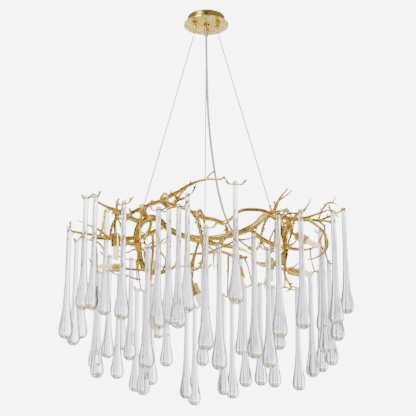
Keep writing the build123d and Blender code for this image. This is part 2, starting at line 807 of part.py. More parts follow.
def bracket_screws():
    """The two side screws that hold the pan on the bracket, at the front and the back."""
    wall = 0.5 * PAN_DIAMETER
    low = bracket_reach() - BRACKET_THICKNESS - SCREW_END - wall
    shank, head, tall = 0.5 * SIDE_SCREW_DIAMETER, 0.5 * SIDE_SCREW_HEAD_DIAMETER, SIDE_SCREW_HEAD_LENGTH
    soft = TURNED_EDGE
    outline = [
        (0, low),
        (shank, low),
        (shank, 0),
        (head, 0),
        (head, tall - soft),
        (head - soft, tall),
        (0, tall),
    ]
    screws = []
    for side in (-1, 1):
        out = Vector(0, side, 0)
        screws.append(lathe(outline, Plane(origin=out * wall + UP * -SIDE_SCREW_DROP, z_dir=out)))
    return screws


def terminal_block():
    """The terminal block under the bracket, with its clamp screws' wells."""
    width, depth, height = TERMINAL_SIZE
    block = Box(width, depth, height, align=(Align.CENTER, Align.CENTER, Align.MAX))
    wells = [Pos(side * 0.5 * TERMINAL_SCREW_SPACING, 0.3 * depth, -height) for side in (-1, 1)]
    for well in wells:
        block -= well * Cylinder(0.5 * TERMINAL_SCREW_DIAMETER, height)
    return (Pos(0, 0, -BRACKET_THICKNESS) * block).solids()[0]


def gripper_levels():
    """The heights of a gripper's collar, barrel and plunger ends, from the plate down."""
    collar = PLATE_BOTTOM_Z - GRIPPER_COLLAR_LENGTH
    barrel = collar - GRIPPER_BARREL_LENGTH
    return collar, barrel, barrel - PLUNGER_PROUD


def cable_mouth(index):
    """The point where a cable leaves its gripper and turns towards its anchor."""
    return polar(GRIPPER_ANGLES[index], GRIPPER_RADIUS, gripper_levels()[2] - CABLE_BEND_DROP)


def gripper_barrel(angle):
    """A cable gripper: nut above the plate, stud, collar and barrel, bored for the cable and the plunger."""
    collar, barrel, _ = gripper_levels()
    nut_top = PLATE_TOP_Z + GRIPPER_NUT_THICKNESS
    stud, nut = 0.5 * GRIPPER_STUD_DIAMETER, 0.5 * GRIPPER_NUT_DIAMETER
    wide, narrow = 0.5 * GRIPPER_COLLAR_DIAMETER, 0.5 * GRIPPER_BARREL_DIAMETER
    bore = 0.5 * CABLE_DIAMETER + LOOSE_CLEARANCE
    well = 0.5 * PLUNGER_DIAMETER + RUNNING_CLEARANCE
    well_top = barrel + PLUNGER_SEATED + PLUNGER_TRAVEL + LOOSE_CLEARANCE
    soft = TURNED_EDGE
    outline = [
        (bore, CABLE_STUD_TOP_Z),
        (stud, CABLE_STUD_TOP_Z),
        (stud, nut_top),
        (nut, nut_top),
        (nut, PLATE_TOP_Z),
        (stud, PLATE_TOP_Z),
        (stud, PLATE_BOTTOM_Z),
        (wide, PLATE_BOTTOM_Z),
        (wide, collar + soft),
        (wide - soft, collar),
        (narrow, collar),
        (narrow, barrel + soft),
        (narrow - soft, barrel),
        (well, barrel),
        (well, well_top),
        (bore, well_top),
    ]
    return lathe(outline, Plane(origin=polar(angle, GRIPPER_RADIUS, 0)))


def gripper_plunger(angle):
    """The sprung tip of a gripper, which is pressed up to let the cable run."""
    _, barrel, low = gripper_levels()
    high = barrel + PLUNGER_SEATED
    edge, bore = 0.5 * PLUNGER_DIAMETER, 0.5 * CABLE_DIAMETER + LOOSE_CLEARANCE
    soft = TURNED_EDGE
    outline = [
        (bore, high),
        (edge, high),
        (edge, low + soft),
        (edge - soft, low),
        (bore + soft, low),
        (bore, low + soft),
    ]
    return lathe(outline, Plane(origin=polar(angle, GRIPPER_RADIUS, 0)))


def suspension_cable(index):
    """A steel cable: down through its gripper, round one bend, and straight to its anchor."""
    mouth = cable_mouth(index)
    start = Vector(mouth.X, mouth.Y, CABLE_STUD_TOP_Z)
    floor = ANCHOR_LENGTH - ANCHOR_HOLE_DEPTH
    end = Vector(*ANCHOR_SEATS[index]) + anchor_axis(index) * (floor + LOOSE_CLEARANCE)
    path = FilletPolyline(start, mouth, end, radius=CABLE_BEND_RADIUS)
    section = Plane(origin=start, z_dir=Vector(0, 0, -1)) * Circle(0.5 * CABLE_DIAMETER)
    return sweep(section, path=path).solids()[0]


def cable_anchor(index):
    """The brass ferrule that a cable ends in, square on its stub."""
    axis = anchor_axis(index)
    edge, bore = 0.5 * ANCHOR_DIAMETER, 0.5 * CABLE_DIAMETER + LOOSE_CLEARANCE
    floor = ANCHOR_LENGTH - ANCHOR_HOLE_DEPTH
    soft = TURNED_EDGE
    outline = [
        (0, 0),
        (edge, 0),
        (edge, ANCHOR_LENGTH - soft),
        (edge - soft, ANCHOR_LENGTH),
        (bore, ANCHOR_LENGTH),
        (bore, floor),
        (0, floor),
    ]
    return lathe(outline, Plane(origin=ANCHOR_SEATS[index], z_dir=axis))


def cord_grip():
    """The strain relief in the middle of the plate: a nut above it, a flange and a tapered nose below."""
    low = PLATE_BOTTOM_Z
    stud, wide = 0.5 * GRIP_STUD_DIAMETER, 0.5 * GRIP_FLANGE_DIAMETER
    bore, nose = 0.5 * CORD_DIAMETER + LOOSE_CLEARANCE, 0.5 * GRIP_NOSE_DIAMETER
    flange = low - GRIP_FLANGE_LENGTH
    end = flange - GRIP_NOSE_LENGTH
    top = PLATE_TOP_Z + GRIPPER_NUT_THICKNESS
    soft = TURNED_EDGE
    lip, nut = bore + soft, wide - 1
    outline = [
        (bore, top),
        (nut, top),
        (nut, PLATE_TOP_Z),
        (stud, PLATE_TOP_Z),
        (stud, low),
        (wide, low),
        (wide, flange + soft),
        (wide - soft, flange),
        (nose + soft, flange),
        (lip, end),
        (bore, end),
    ]
    return lathe(outline)


def cord_radii():
    """The largest tangent arc at each corner of the cord's route."""
    points = [Vector(*point) for point in CORD_ROUTE]
    radii = []
    for before, corner, after in zip(points, points[1:], points[2:]):
        turn = math.radians((corner - before).get_angle(after - corner))
        shorter = min((corner - before).length, (after - corner).length)
        radii.append(0.45 * shorter / math.tan(turn / 2))
    return radii


def power_cord():
    """The clear power cord, from the terminal block to its inlet in the branches."""
    radii = cord_radii()
    path = FilletPolyline(*CORD_ROUTE, radius=radii)
    section = Plane(origin=CORD_ROUTE[0], z_dir=Vector(0, 0, -1)) * Circle(0.5 * CORD_DIAMETER)
    cord = sweep(section, path=path).solids()[0]
    wanted = math.pi * (0.5 * CORD_DIAMETER) ** 2 * path.wire().length
    print("cord radii", [round(radius) for radius in radii])
    print("cord length", round(path.wire().length, 1), "volume share", round(cord.volume / wanted, 4))
    return cord


def cord_inlet():
    """The brass ferrule that takes the lower end of the power cord."""
    end, arrive = cord_end()
    far = end + arrive * (INLET_LENGTH - INLET_HOLE_DEPTH + LOOSE_CLEARANCE)
    edge, bore = 0.5 * INLET_DIAMETER, 0.5 * CORD_DIAMETER + LOOSE_CLEARANCE
    floor = INLET_LENGTH - INLET_HOLE_DEPTH
    soft = TURNED_EDGE
    outline = [
        (0, 0),
        (edge, 0),
        (edge, INLET_LENGTH - soft),
        (edge - soft, INLET_LENGTH),
        (bore, INLET_LENGTH),
        (bore, floor),
        (0, floor),
    ]
    return lathe(outline, Plane(origin=far, z_dir=arrive * -1))


def lamp_cup(lamp):
    """A turned brass cup with a short neck at its back."""
    edge, neck = 0.5 * CUP_DIAMETER, 0.5 * CUP_NECK_DIAMETER
    inner = edge - CUP_WALL
    soft = CUP_CORNER
    outline = [
        (0, -CUP_NECK_LENGTH),
        (neck, -CUP_NECK_LENGTH),
        (neck, 0),
        (edge - soft, 0),
        (edge, soft),
        (edge, CUP_LENGTH),
        (inner, CUP_LENGTH),
        (inner, CUP_WALL + soft),
        (inner - soft, CUP_FLOOR),
        (0, CUP_FLOOR),
    ]
    return lathe(outline, lamp_frame(lamp))


def lamp_socket(lamp):
    """A ceramic socket on the floor of the cup, with a slot for the bulb's base."""
    frame = lamp_frame(lamp)
    inset, step = SOCKET_STEP
    radius = 0.5 * SOCKET_DIAMETER
    body = Solid.make_cylinder(radius - inset, SOCKET_LENGTH, Plane(origin=(0, 0, CUP_FLOOR)))
    collar = Solid.make_cylinder(radius, SOCKET_LENGTH - step, Plane(origin=(0, 0, CUP_FLOOR + step)))
    wide, narrow, deep = SOCKET_SLOT
    slot = Box(wide, narrow, deep, align=(Align.CENTER, Align.CENTER, Align.MAX))
    shape = body.fuse(collar).cut(Pos(0, 0, CUP_FLOOR + SOCKET_LENGTH) * slot.solids()[0])
    return frame * shape.solids()[0]


def bulb(lamp):
    """A capsule lamp: a flat pinch base in the socket's slot, and a domed clear tube."""
    frame = lamp_frame(lamp)
    seat = CUP_FLOOR + SOCKET_LENGTH
    wide, narrow, deep = BULB_BASE
    radius = 0.5 * BULB_DIAMETER
    floor = seat - SOCKET_SLOT[2] + LOOSE_CLEARANCE
    glass_start = floor + deep
    base = Pos(0, 0, floor) * Box(wide, narrow, deep + 1, align=(Align.CENTER, Align.CENTER, Align.MIN))
    with BuildPart() as capsule:
        with BuildSketch(Plane.XZ):
            with BuildLine():
                corner, straight = BULB_CORNER, BULB_GLASS_LENGTH - radius
                foot = Polyline((0, 0), (radius - corner, 0), (radius, corner), (radius, straight))
                dome = RadiusArc(foot @ 1, (0, BULB_GLASS_LENGTH), -radius)
                Line(dome @ 1, foot @ 0)
            make_face()
        revolve(axis=Axis.Z)
    glass = Pos(0, 0, glass_start) * capsule.part.solids()[0]
    return frame * glass.fuse(base.solids()[0]).solids()[0]


def save(name, solids):
    """Write one node's solids to its STEP file."""
    solids = list(solids)
    shape = solids[0] if len(solids) == 1 else Compound(children=solids)
    export_step(shape, f"parts/{name}.step")


def main():
    """Build every piece and write the nodes."""
    os.makedirs("parts", exist_ok=True)
    indices = range(len(GRIPPER_ANGLES))
    save("ceiling_bracket", [ceiling_bracket()])
    save("bracket_screws", bracket_screws())
    save("canopy_pan", [canopy_pan()])
    save("canopy_plate", [canopy_plate()])
    save("terminal_block", [terminal_block()])
    save("gripper_barrels", [gripper_barrel(angle) for angle in GRIPPER_ANGLES])
    for side, angle in zip(("left", "right", "back"), GRIPPER_ANGLES):
        save(f"gripper_plunger_{side}", [gripper_plunger(angle)])
    save("suspension_cables", [suspension_cable(i) for i in indices])
    save("cable_anchors", [cable_anchor(i) for i in indices])
    save("cord_grip", [cord_grip()])
    save("power_cord", [power_cord()])
    save("cord_inlet", [cord_inlet()])

    branches = {}
    for name in BRANCHES:
        branches[name] = branch_solid(name, branches)
        save(name, branches[name].solids())

    save("lamp_cups", [lamp_cup(lamp) for lamp in LAMPS])
    save("lamp_sockets", [lamp_socket(lamp) for lamp in LAMPS])
    save("bulbs", [bulb(lamp) for lamp in LAMPS])

    blank = drop_blank()
    for hanger in HANGERS:
        save(hanger.name, hanger_drops(hanger, blank))


if __name__ == "__main__":
    main()
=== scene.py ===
"""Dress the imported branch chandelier: brass twigs, glass drops, canopy, steel cables and clear cord."""

import json
import logging
import math
import random
from collections.abc import Callable, Iterable, Sequence
from dataclasses import dataclass, field
from enum import Enum

import bpy
import numpy as np
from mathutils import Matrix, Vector

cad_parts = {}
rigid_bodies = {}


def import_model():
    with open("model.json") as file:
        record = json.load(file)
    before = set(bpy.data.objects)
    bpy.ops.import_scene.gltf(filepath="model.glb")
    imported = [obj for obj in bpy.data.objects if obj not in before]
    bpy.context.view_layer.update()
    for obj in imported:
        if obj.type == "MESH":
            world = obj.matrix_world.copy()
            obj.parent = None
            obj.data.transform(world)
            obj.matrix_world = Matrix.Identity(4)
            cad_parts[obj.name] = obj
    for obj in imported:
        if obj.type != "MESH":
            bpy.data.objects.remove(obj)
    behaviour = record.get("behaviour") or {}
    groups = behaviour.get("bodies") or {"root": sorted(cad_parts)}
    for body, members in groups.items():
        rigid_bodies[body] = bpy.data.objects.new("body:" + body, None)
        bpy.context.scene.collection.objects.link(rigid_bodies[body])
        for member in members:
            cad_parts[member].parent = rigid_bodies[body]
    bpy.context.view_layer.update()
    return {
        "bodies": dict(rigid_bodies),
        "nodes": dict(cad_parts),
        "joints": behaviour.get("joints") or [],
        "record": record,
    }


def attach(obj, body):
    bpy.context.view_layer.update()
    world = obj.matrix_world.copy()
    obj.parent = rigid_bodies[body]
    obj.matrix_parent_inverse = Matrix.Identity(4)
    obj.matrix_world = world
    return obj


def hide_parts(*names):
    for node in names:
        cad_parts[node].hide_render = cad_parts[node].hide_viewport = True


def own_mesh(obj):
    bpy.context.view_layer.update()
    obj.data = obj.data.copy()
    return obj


LOG = logging.getLogger("chandelier")
MM = 0.001
FINE_WELD = 1e-6
UP = Vector((0.0, 0.0, 1.0))
PEG_GUARD = "clear_of_pegs"

Colour = tuple[float, float, float, float]
Point = tuple[float, float, float]
Stops = tuple[tuple[float, Point], ...]
Limb = tuple[tuple[float, float, float, float], ...]
Section = tuple[Vector, float]
Socket = bpy.types.NodeSocket

EVEN: Point = (1.0, 1.0, 1.0)
WREATH_MIDDLE: Point = (0.0, 0.0, -0.7)
PLATE_MIDDLE: Point = (0.0, 0.0, -0.03)


class Body(str, Enum):
    """The CAD bodies that more than one piece rides on."""

    CANOPY = "canopy"
    BRANCHES = "branches"


class Slot(str, Enum):
    """The record's material slots, by name."""

    BRASS = "brass"
    CANOPY_GOLD = "canopy_gold"
    DARK_SCREW = "dark_screw"
    CABLE = "steel_cable"
    CORD = "clear_cord"
    BULB = "bulb_glass"
    DROP = "drop_glass"


class Bench:
    """Short names for the operators that every piece is made with."""

    @staticmethod
    def pick(*pieces: bpy.types.Object) -> None:
        """Select these objects alone, the last one active.

        Args:
            pieces: The objects, or none to deselect all.
        """
        if bpy.context.object and bpy.context.object.mode != "OBJECT":
            bpy.ops.object.mode_set(mode="OBJECT")
        bpy.ops.object.select_all(action="DESELECT")
        for piece in pieces:
            piece.select_set(True)
            bpy.context.view_layer.objects.active = piece

    @staticmethod
    def edit(piece: bpy.types.Object, choose: Callable[[bpy.types.MeshPolygon], bool] | None = None) -> None:
        """Open a piece in edit mode with some of its faces selected.

        Args:
            piece: The mesh object to open.
            choose: Says of each face whether it is selected. Without it, all are.
        """
        Bench.pick(piece)
        for edge in piece.data.edges:
            edge.select = False
        for vertex in piece.data.vertices:
            vertex.select = False
        for face in piece.data.polygons:
            face.select = choose is None or choose(face)
        bpy.context.tool_settings.mesh_select_mode = (False, False, True)
        bpy.ops.object.mode_set(mode="EDIT")

    @staticmethod
    def close_edit() -> None:
        """Go back to object mode."""
        bpy.ops.object.mode_set(mode="OBJECT")

    @staticmethod
    def settle(piece: bpy.types.Object) -> None:
        """Put a piece's place, turn and scale into its mesh."""
        Bench.pick(piece)
        bpy.ops.object.transform_apply(location=True, rotation=True, scale=True)

    @staticmethod
    def modify(piece: bpy.types.Object, kind: str, **settings: object) -> None:
        """Add a modifier and apply it at once.

        Args:
            piece: The mesh object.
            kind: The modifier's type.
            settings: Its properties.
        """
        modifier = piece.modifiers.new(kind.lower(), kind)
        for key, value in settings.items():
            setattr(modifier, key, value)
        Bench.pick(piece)
        bpy.ops.object.modifier_apply(modifier=modifier.name)

    @staticmethod
    def weld(piece: bpy.types.Object, reach: float = 1e-5) -> None:
        """Merge doubled points and turn the faces outwards.

        Args:
            piece: The mesh object.
            reach: How near two points are when they become one.
        """
        Bench.edit(piece)
        bpy.ops.mesh.remove_doubles(threshold=reach)
        bpy.ops.mesh.normals_make_consistent(inside=False)
        Bench.close_edit()

    @staticmethod
    def soften(piece: bpy.types.Object, degrees: float = 40.0) -> None:
        """Shade a piece smooth, with edges sharper than an angle left crisp."""
        Bench.pick(piece)
        bpy.ops.object.shade_smooth_by_angle(angle=math.radians(degrees))

    @staticmethod
    def copy(piece: bpy.types.Object, name: str) -> bpy.types.Object:
        """A copy of a piece with its own mesh.

        Args:
            piece: What is copied.
            name: The copy's name.

        Returns:
            The copy, with no parent.
        """
        twin = bpy.data.objects.new(name, piece.data.copy())
        bpy.context.scene.collection.objects.link(twin)
        return twin

    @staticmethod
    def join(name: str, pieces: Sequence[bpy.types.Object]) -> bpy.types.Object:
        """Join pieces into the last one and name it.

        Args:
            name: The name of the joined piece.
            pieces: The pieces to join.

        Returns:
            The joined piece.
        """
        Bench.pick(*pieces)
        if len(pieces) > 1:
            bpy.ops.object.join()
        whole = bpy.context.view_layer.objects.active
        whole.name = name
        whole.data.name = name
        return whole

    @staticmethod
    def aim(piece: bpy.types.Object, axis: Vector, place: Vector) -> None:
        """Turn a piece's Z to an axis, move it, and put both into its mesh.

        Args:
            piece: The mesh object, made at the origin along Z.
            axis: Where its Z is to point.
            place: Where its origin goes.
        """
        piece.rotation_mode = "QUATERNION"
        piece.rotation_quaternion = axis.to_track_quat("Z", "Y")
        piece.location = place
        Bench.settle(piece)

    @staticmethod
    def paint(piece: bpy.types.Object, material: bpy.types.Material) -> None:
        """Give a piece one material."""
        piece.data.materials.clear()
        piece.data.materials.append(material)


class Turning:
    """Turned pieces: a ring of points extruded and scaled level by level, as on a lathe."""

    point_radius: float = 0.02 * MM
    point_weld: float = 0.05 * MM

    @staticmethod
    def make(name: str, levels: Sequence[tuple[float, float]], sides: int) -> bpy.types.Object:
        """Extrude a circle through a profile.

        Args:
            name: The piece's name.
            levels: Radius and height pairs, from one end of the piece to the other. A radius of zero
                closes an end in a point.
            sides: Points in a ring.

        Returns:
            The turned piece at the origin, along Z, closed at both ends.
        """
        radius, height = levels[0]
        start = radius if radius > 0 else Turning.point_radius
        Bench.pick()
        bpy.ops.mesh.primitive_circle_add(
            vertices=sides,
            radius=start,
            location=(0, 0, height),
            fill_type="NGON" if radius > 0 else "TRIFAN",
        )
        piece = bpy.context.object
        piece.name = name
        piece.data.name = name
        Bench.settle(piece)
        Bench.edit(piece)
        now = start
        for (_, level), (radius, after) in zip(levels, levels[1:]):
            target = max(radius, Turning.point_radius)
            bpy.ops.mesh.extrude_region_move(TRANSFORM_OT_translate={"value": (0, 0, after - level)})
            bpy.ops.transform.resize(value=(target / now, target / now, 1.0), center_override=(0, 0, after))
            now = target
        Bench.close_edit()
        pointed = 0 in (levels[0][0], levels[-1][0])
        Bench.weld(piece, Turning.point_weld if pointed else FINE_WELD)
        return piece


class Sheet:
    """A material's node tree, with short ways to add what the finishes share."""

    noise_low: float = 0.3
    noise_high: float = 0.7

    def __init__(self, name: str) -> None:
        """Start a material with its principled shader.

        Args:
            name: The material's name.
        """
        self.material = bpy.data.materials.new(name)
        self.material.use_nodes = True
        self.nodes = self.material.node_tree.nodes
        self.links = self.material.node_tree.links
        self.shader = self.nodes["Principled BSDF"]

    def put(self, **values: object) -> None:
        """Set sockets of the shader: an underscore in a name stands for a space."""
        for key, value in values.items():
            self.shader.inputs[key.replace("_", " ")].default_value = value

    def feed(self, source: Socket, socket: str) -> None:
        """Link an output to a socket of the shader."""
        self.links.new(source, self.shader.inputs[socket])

    def spot(self, stretch: Point = EVEN) -> Socket:
        """Object coordinates, stretched along the axes.

        Args:
            stretch: Scale along each axis.

        Returns:
            The vector output.
        """
        place = self.nodes.new("ShaderNodeTexCoord")
        mapping = self.nodes.new("ShaderNodeMapping")
        mapping.inputs["Scale"].default_value = stretch
        self.links.new(place.outputs["Object"], mapping.inputs["Vector"])
        return mapping.outputs["Vector"]

    def noise(self, scale: float, detail: float = 4.0, stretch: Point = EVEN) -> Socket:
        """A noise over the object.

        Args:
            scale: Features in a metre.
            detail: Levels of finer noise.
            stretch: Scale along each axis.

        Returns:
            The noise value.
        """
        node = self.nodes.new("ShaderNodeTexNoise")
        node.inputs["Scale"].default_value = scale
        node.inputs["Detail"].default_value = detail
        self.links.new(self.spot(stretch), node.inputs["Vector"])
        return node.outputs["Fac"]

    def ramp(self, source: Socket, stops: Iterable[tuple[float, Colour]]) -> Socket:
        """Turn a value into a colour.

        Args:
            source: The value.
            stops: Positions and colours.

        Returns:
            The colour.
        """
        node = self.nodes.new("ShaderNodeValToRGB")
        ends = node.color_ramp.elements
        for i, (position, colour) in enumerate(stops):
            stop = ends[i] if i < 2 else ends.new(position)
            stop.position = position
            stop.color = colour
        self.links.new(source, node.inputs["Fac"])
        return node.outputs["Color"]

    def span(self, source: Socket, low: float, high: float) -> Socket:
        """Spread the middle of a noise over a range.

        Args:
            source: The noise value.
            low: What a low value becomes.
            high: What a high value becomes.

        Returns:
            The spread value.
        """
        node = self.nodes.new("ShaderNodeMapRange")
        node.inputs["From Min"].default_value = self.noise_low
        node.inputs["From Max"].default_value = self.noise_high
        node.inputs["To Min"].default_value = low
        node.inputs["To Max"].default_value = high
        self.links.new(source, node.inputs["Value"])
        return node.outputs["Result"]

    def relief(self, height: Socket, strength: float, depth: float) -> None:
        """Bump the surface.

        Args:
            height: The height value.
            strength: Share of the bump that shows.
            depth: Its depth in metres.
        """
        node = self.nodes.new("ShaderNodeBump")
        node.inputs["Strength"].default_value = strength
        node.inputs["Distance"].default_value = depth
        self.links.new(height, node.inputs["Height"])
        self.feed(node.outputs["Normal"], "Normal")


@dataclass(frozen=True)
class MetalFinish:
    """A polished or satin metal: two tones, a range of gloss, and its grain."""

    name: str
    deep: Colour
    bright: Colour
    gloss: tuple[float, float]
    tone_scale: float = 45.0
    grain_scale: float = 700.0
    grain_depth: float = 0.15 * MM
    grain_stretch: Point = EVEN
    tone_detail: float = 5.0
    tone_stops: tuple[float, float] = (0.32, 0.62)
    grain_detail: float = 3.0
    grain_strength: float = 0.35

    def make(self) -> bpy.types.Material:
        """Build the material.

        Returns:
            The material.
        """
        sheet = Sheet(self.name)
        sheet.put(Metallic=1.0)
        tone = sheet.noise(self.tone_scale, self.tone_detail)
        sheet.feed(sheet.ramp(tone, zip(self.tone_stops, (self.deep, self.bright))), "Base Color")
        grain = sheet.noise(self.grain_scale, self.grain_detail, self.grain_stretch)
        sheet.feed(sheet.span(grain, *self.gloss), "Roughness")
        sheet.relief(grain, self.grain_strength, self.grain_depth)
        return sheet.material


@dataclass(frozen=True)
class GlassFinish:
    """Clear or frosted glass with the slight ripple of drawn and pressed work, and an optional painted glow.
    """

    name: str
    tint: Colour
    ior: float = 1.48
    gloss: float = 0.015
    ripple_scale: float = 38.0
    ripple_depth: float = 0.5 * MM
    ripple_detail: float = 1.0
    ripple_stretch: Point = (1.0, 1.0, 0.35)
    ripple_strength: float = 0.18
    clear: float = 1.0
    # Emission strength: a painted glow, light painted into glass that is not lit
    painted_glow: float = 0.0

    def make(self) -> bpy.types.Material:
        """Build the material.

        Returns:
            The material.
        """
        sheet = Sheet(self.name)
        sheet.put(Base_Color=self.tint, Roughness=self.gloss, IOR=self.ior, Transmission_Weight=self.clear)
        sheet.put(Emission_Color=self.tint, Emission_Strength=self.painted_glow)
        ripple = sheet.noise(self.ripple_scale, self.ripple_detail, self.ripple_stretch)
        sheet.relief(ripple, self.ripple_strength, self.ripple_depth)
        return sheet.material


@dataclass(frozen=True)
class MouldedFinish:
    """A moulded or fired surface: two near tones, a soft gloss and a fine pitting."""

    name: str
    deep: Colour
    bright: Colour
    gloss: tuple[float, float]
    pit_scale: float = 900.0
    pit_detail: float = 2.0
    pit_strength: float = 0.2
    pit_depth: float = 0.1 * MM
    tone_scale: float = 80.0
    tone_stops: tuple[float, float] = (0.3, 0.7)

    def make(self) -> bpy.types.Material:
        """Build the material.

        Returns:
            The material.
        """
        sheet = Sheet(self.name)
        tone = sheet.noise(self.tone_scale)
        sheet.feed(sheet.ramp(tone, zip(self.tone_stops, (self.deep, self.bright))), "Base Color")
        pits = sheet.noise(self.pit_scale, self.pit_detail)
        sheet.feed(sheet.span(pits, *self.gloss), "Roughness")
        sheet.relief(pits, self.pit_strength, self.pit_depth)
        return sheet.material


class Palette:
    """Every finish of the chandelier, made once."""

    def __init__(self) -> None:
        """Build the materials."""
        self.brass = MetalFinish(
            "polished_cast_brass",
            deep=(0.50, 0.29, 0.03, 1),
            bright=(0.84, 0.57, 0.11, 1),
            gloss=(0.05, 0.13),
            grain_depth=0.07 * MM,
        ).make()
        self.gold = MetalFinish(
            "brown_gold_satin",
            deep=(0.32, 0.19, 0.04, 1),
            bright=(0.50, 0.33, 0.09, 1),
            gloss=(0.18, 0.32),
            tone_scale=30.0,
            grain_scale=500.0,
            grain_depth=0.06 * MM,
            grain_stretch=(8, 8, 1),
        ).make()
        self.hammered = MetalFinish(
            "hammered_pale_gold",
            deep=(0.80, 0.55, 0.09, 1),
            bright=(0.96, 0.73, 0.19, 1),
            gloss=(0.12, 0.24),
            tone_scale=60.0,
            grain_scale=420.0,
            grain_depth=0.2 * MM,
        ).make()
        self.bright_gold = MetalFinish(
            "bright_yellow_gold",
            deep=(0.84, 0.60, 0.11, 1),
            bright=(0.97, 0.75, 0.22, 1),
            gloss=(0.14, 0.26),
            tone_scale=50.0,
            grain_scale=600.0,
            grain_depth=0.03 * MM,
        ).make()
        self.zinc = MetalFinish(
            "zinc_plate",
            deep=(0.46, 0.47, 0.49, 1),
            bright=(0.66, 0.67, 0.69, 1),
            gloss=(0.3, 0.5),
            tone_scale=120.0,
        ).make()
        self.black = MetalFinish(
            "black_oxide",
            deep=(0.08, 0.065, 0.04, 1),
            bright=(0.18, 0.14, 0.08, 1),
            gloss=(0.3, 0.5),
            tone_scale=200.0,
        ).make()
        self.steel = MetalFinish(
            "bright_strand_steel",
            deep=(0.16, 0.16, 0.165, 1),
            bright=(0.34, 0.34, 0.35, 1),
            gloss=(0.25, 0.42),
            tone_scale=260.0,
            grain_scale=2200.0,
            grain_depth=0.04 * MM,
        ).make()
        self.core = MetalFinish(
            "tinned_core",
            deep=(0.55, 0.55, 0.56, 1),
            bright=(0.82, 0.82, 0.83, 1),
            gloss=(0.22, 0.4),
            tone_scale=300.0,
            grain_scale=1800.0,
            grain_depth=0.05 * MM,
        ).make()
        self.tungsten = MetalFinish(
            "filament_wire",
            deep=(0.22, 0.21, 0.2, 1),
            bright=(0.42, 0.41, 0.4, 1),
            gloss=(0.35, 0.5),
            tone_scale=400.0,
        ).make()
        self.drop = GlassFinish("drop_glass", tint=(0.94, 0.935, 0.962, 1)).make()
        self.capsule = GlassFinish(
            "frosted_capsule_painted_glow",
            tint=(1.0, 0.88, 0.58, 1),
            gloss=0.38,
            ripple_scale=120.0,
            clear=0.15,
            # The capsules are unlit: this emission is painted light that brightens their ivory glass
            painted_glow=0.8,
        ).make()
        self.sheath = GlassFinish(
            "clear_cord_sheath",
            tint=(0.84, 0.84, 0.83, 1),
            ior=1.38,
            gloss=0.3,
            ripple_scale=160.0,
            clear=0.3,
        ).make()
        self.ceramic = MouldedFinish(
            "white_ceramic",
            deep=(0.74, 0.72, 0.67, 1),
            bright=(0.84, 0.82, 0.78, 1),
            gloss=(0.3, 0.45),
        ).make()
        self.plastic = MouldedFinish(
            "terminal_nylon",
            deep=(0.78, 0.78, 0.75, 1),
            bright=(0.86, 0.86, 0.83, 1),
            gloss=(0.45, 0.6),
        ).make()


@dataclass(frozen=True)
class SoftBox:
    """A square studio light: its place, what it points at, its side and power, and whether glass shows it."""

    name: str
    place: Point
    target: Point
    size: float
    power: float
    seen_in_glass: bool = True


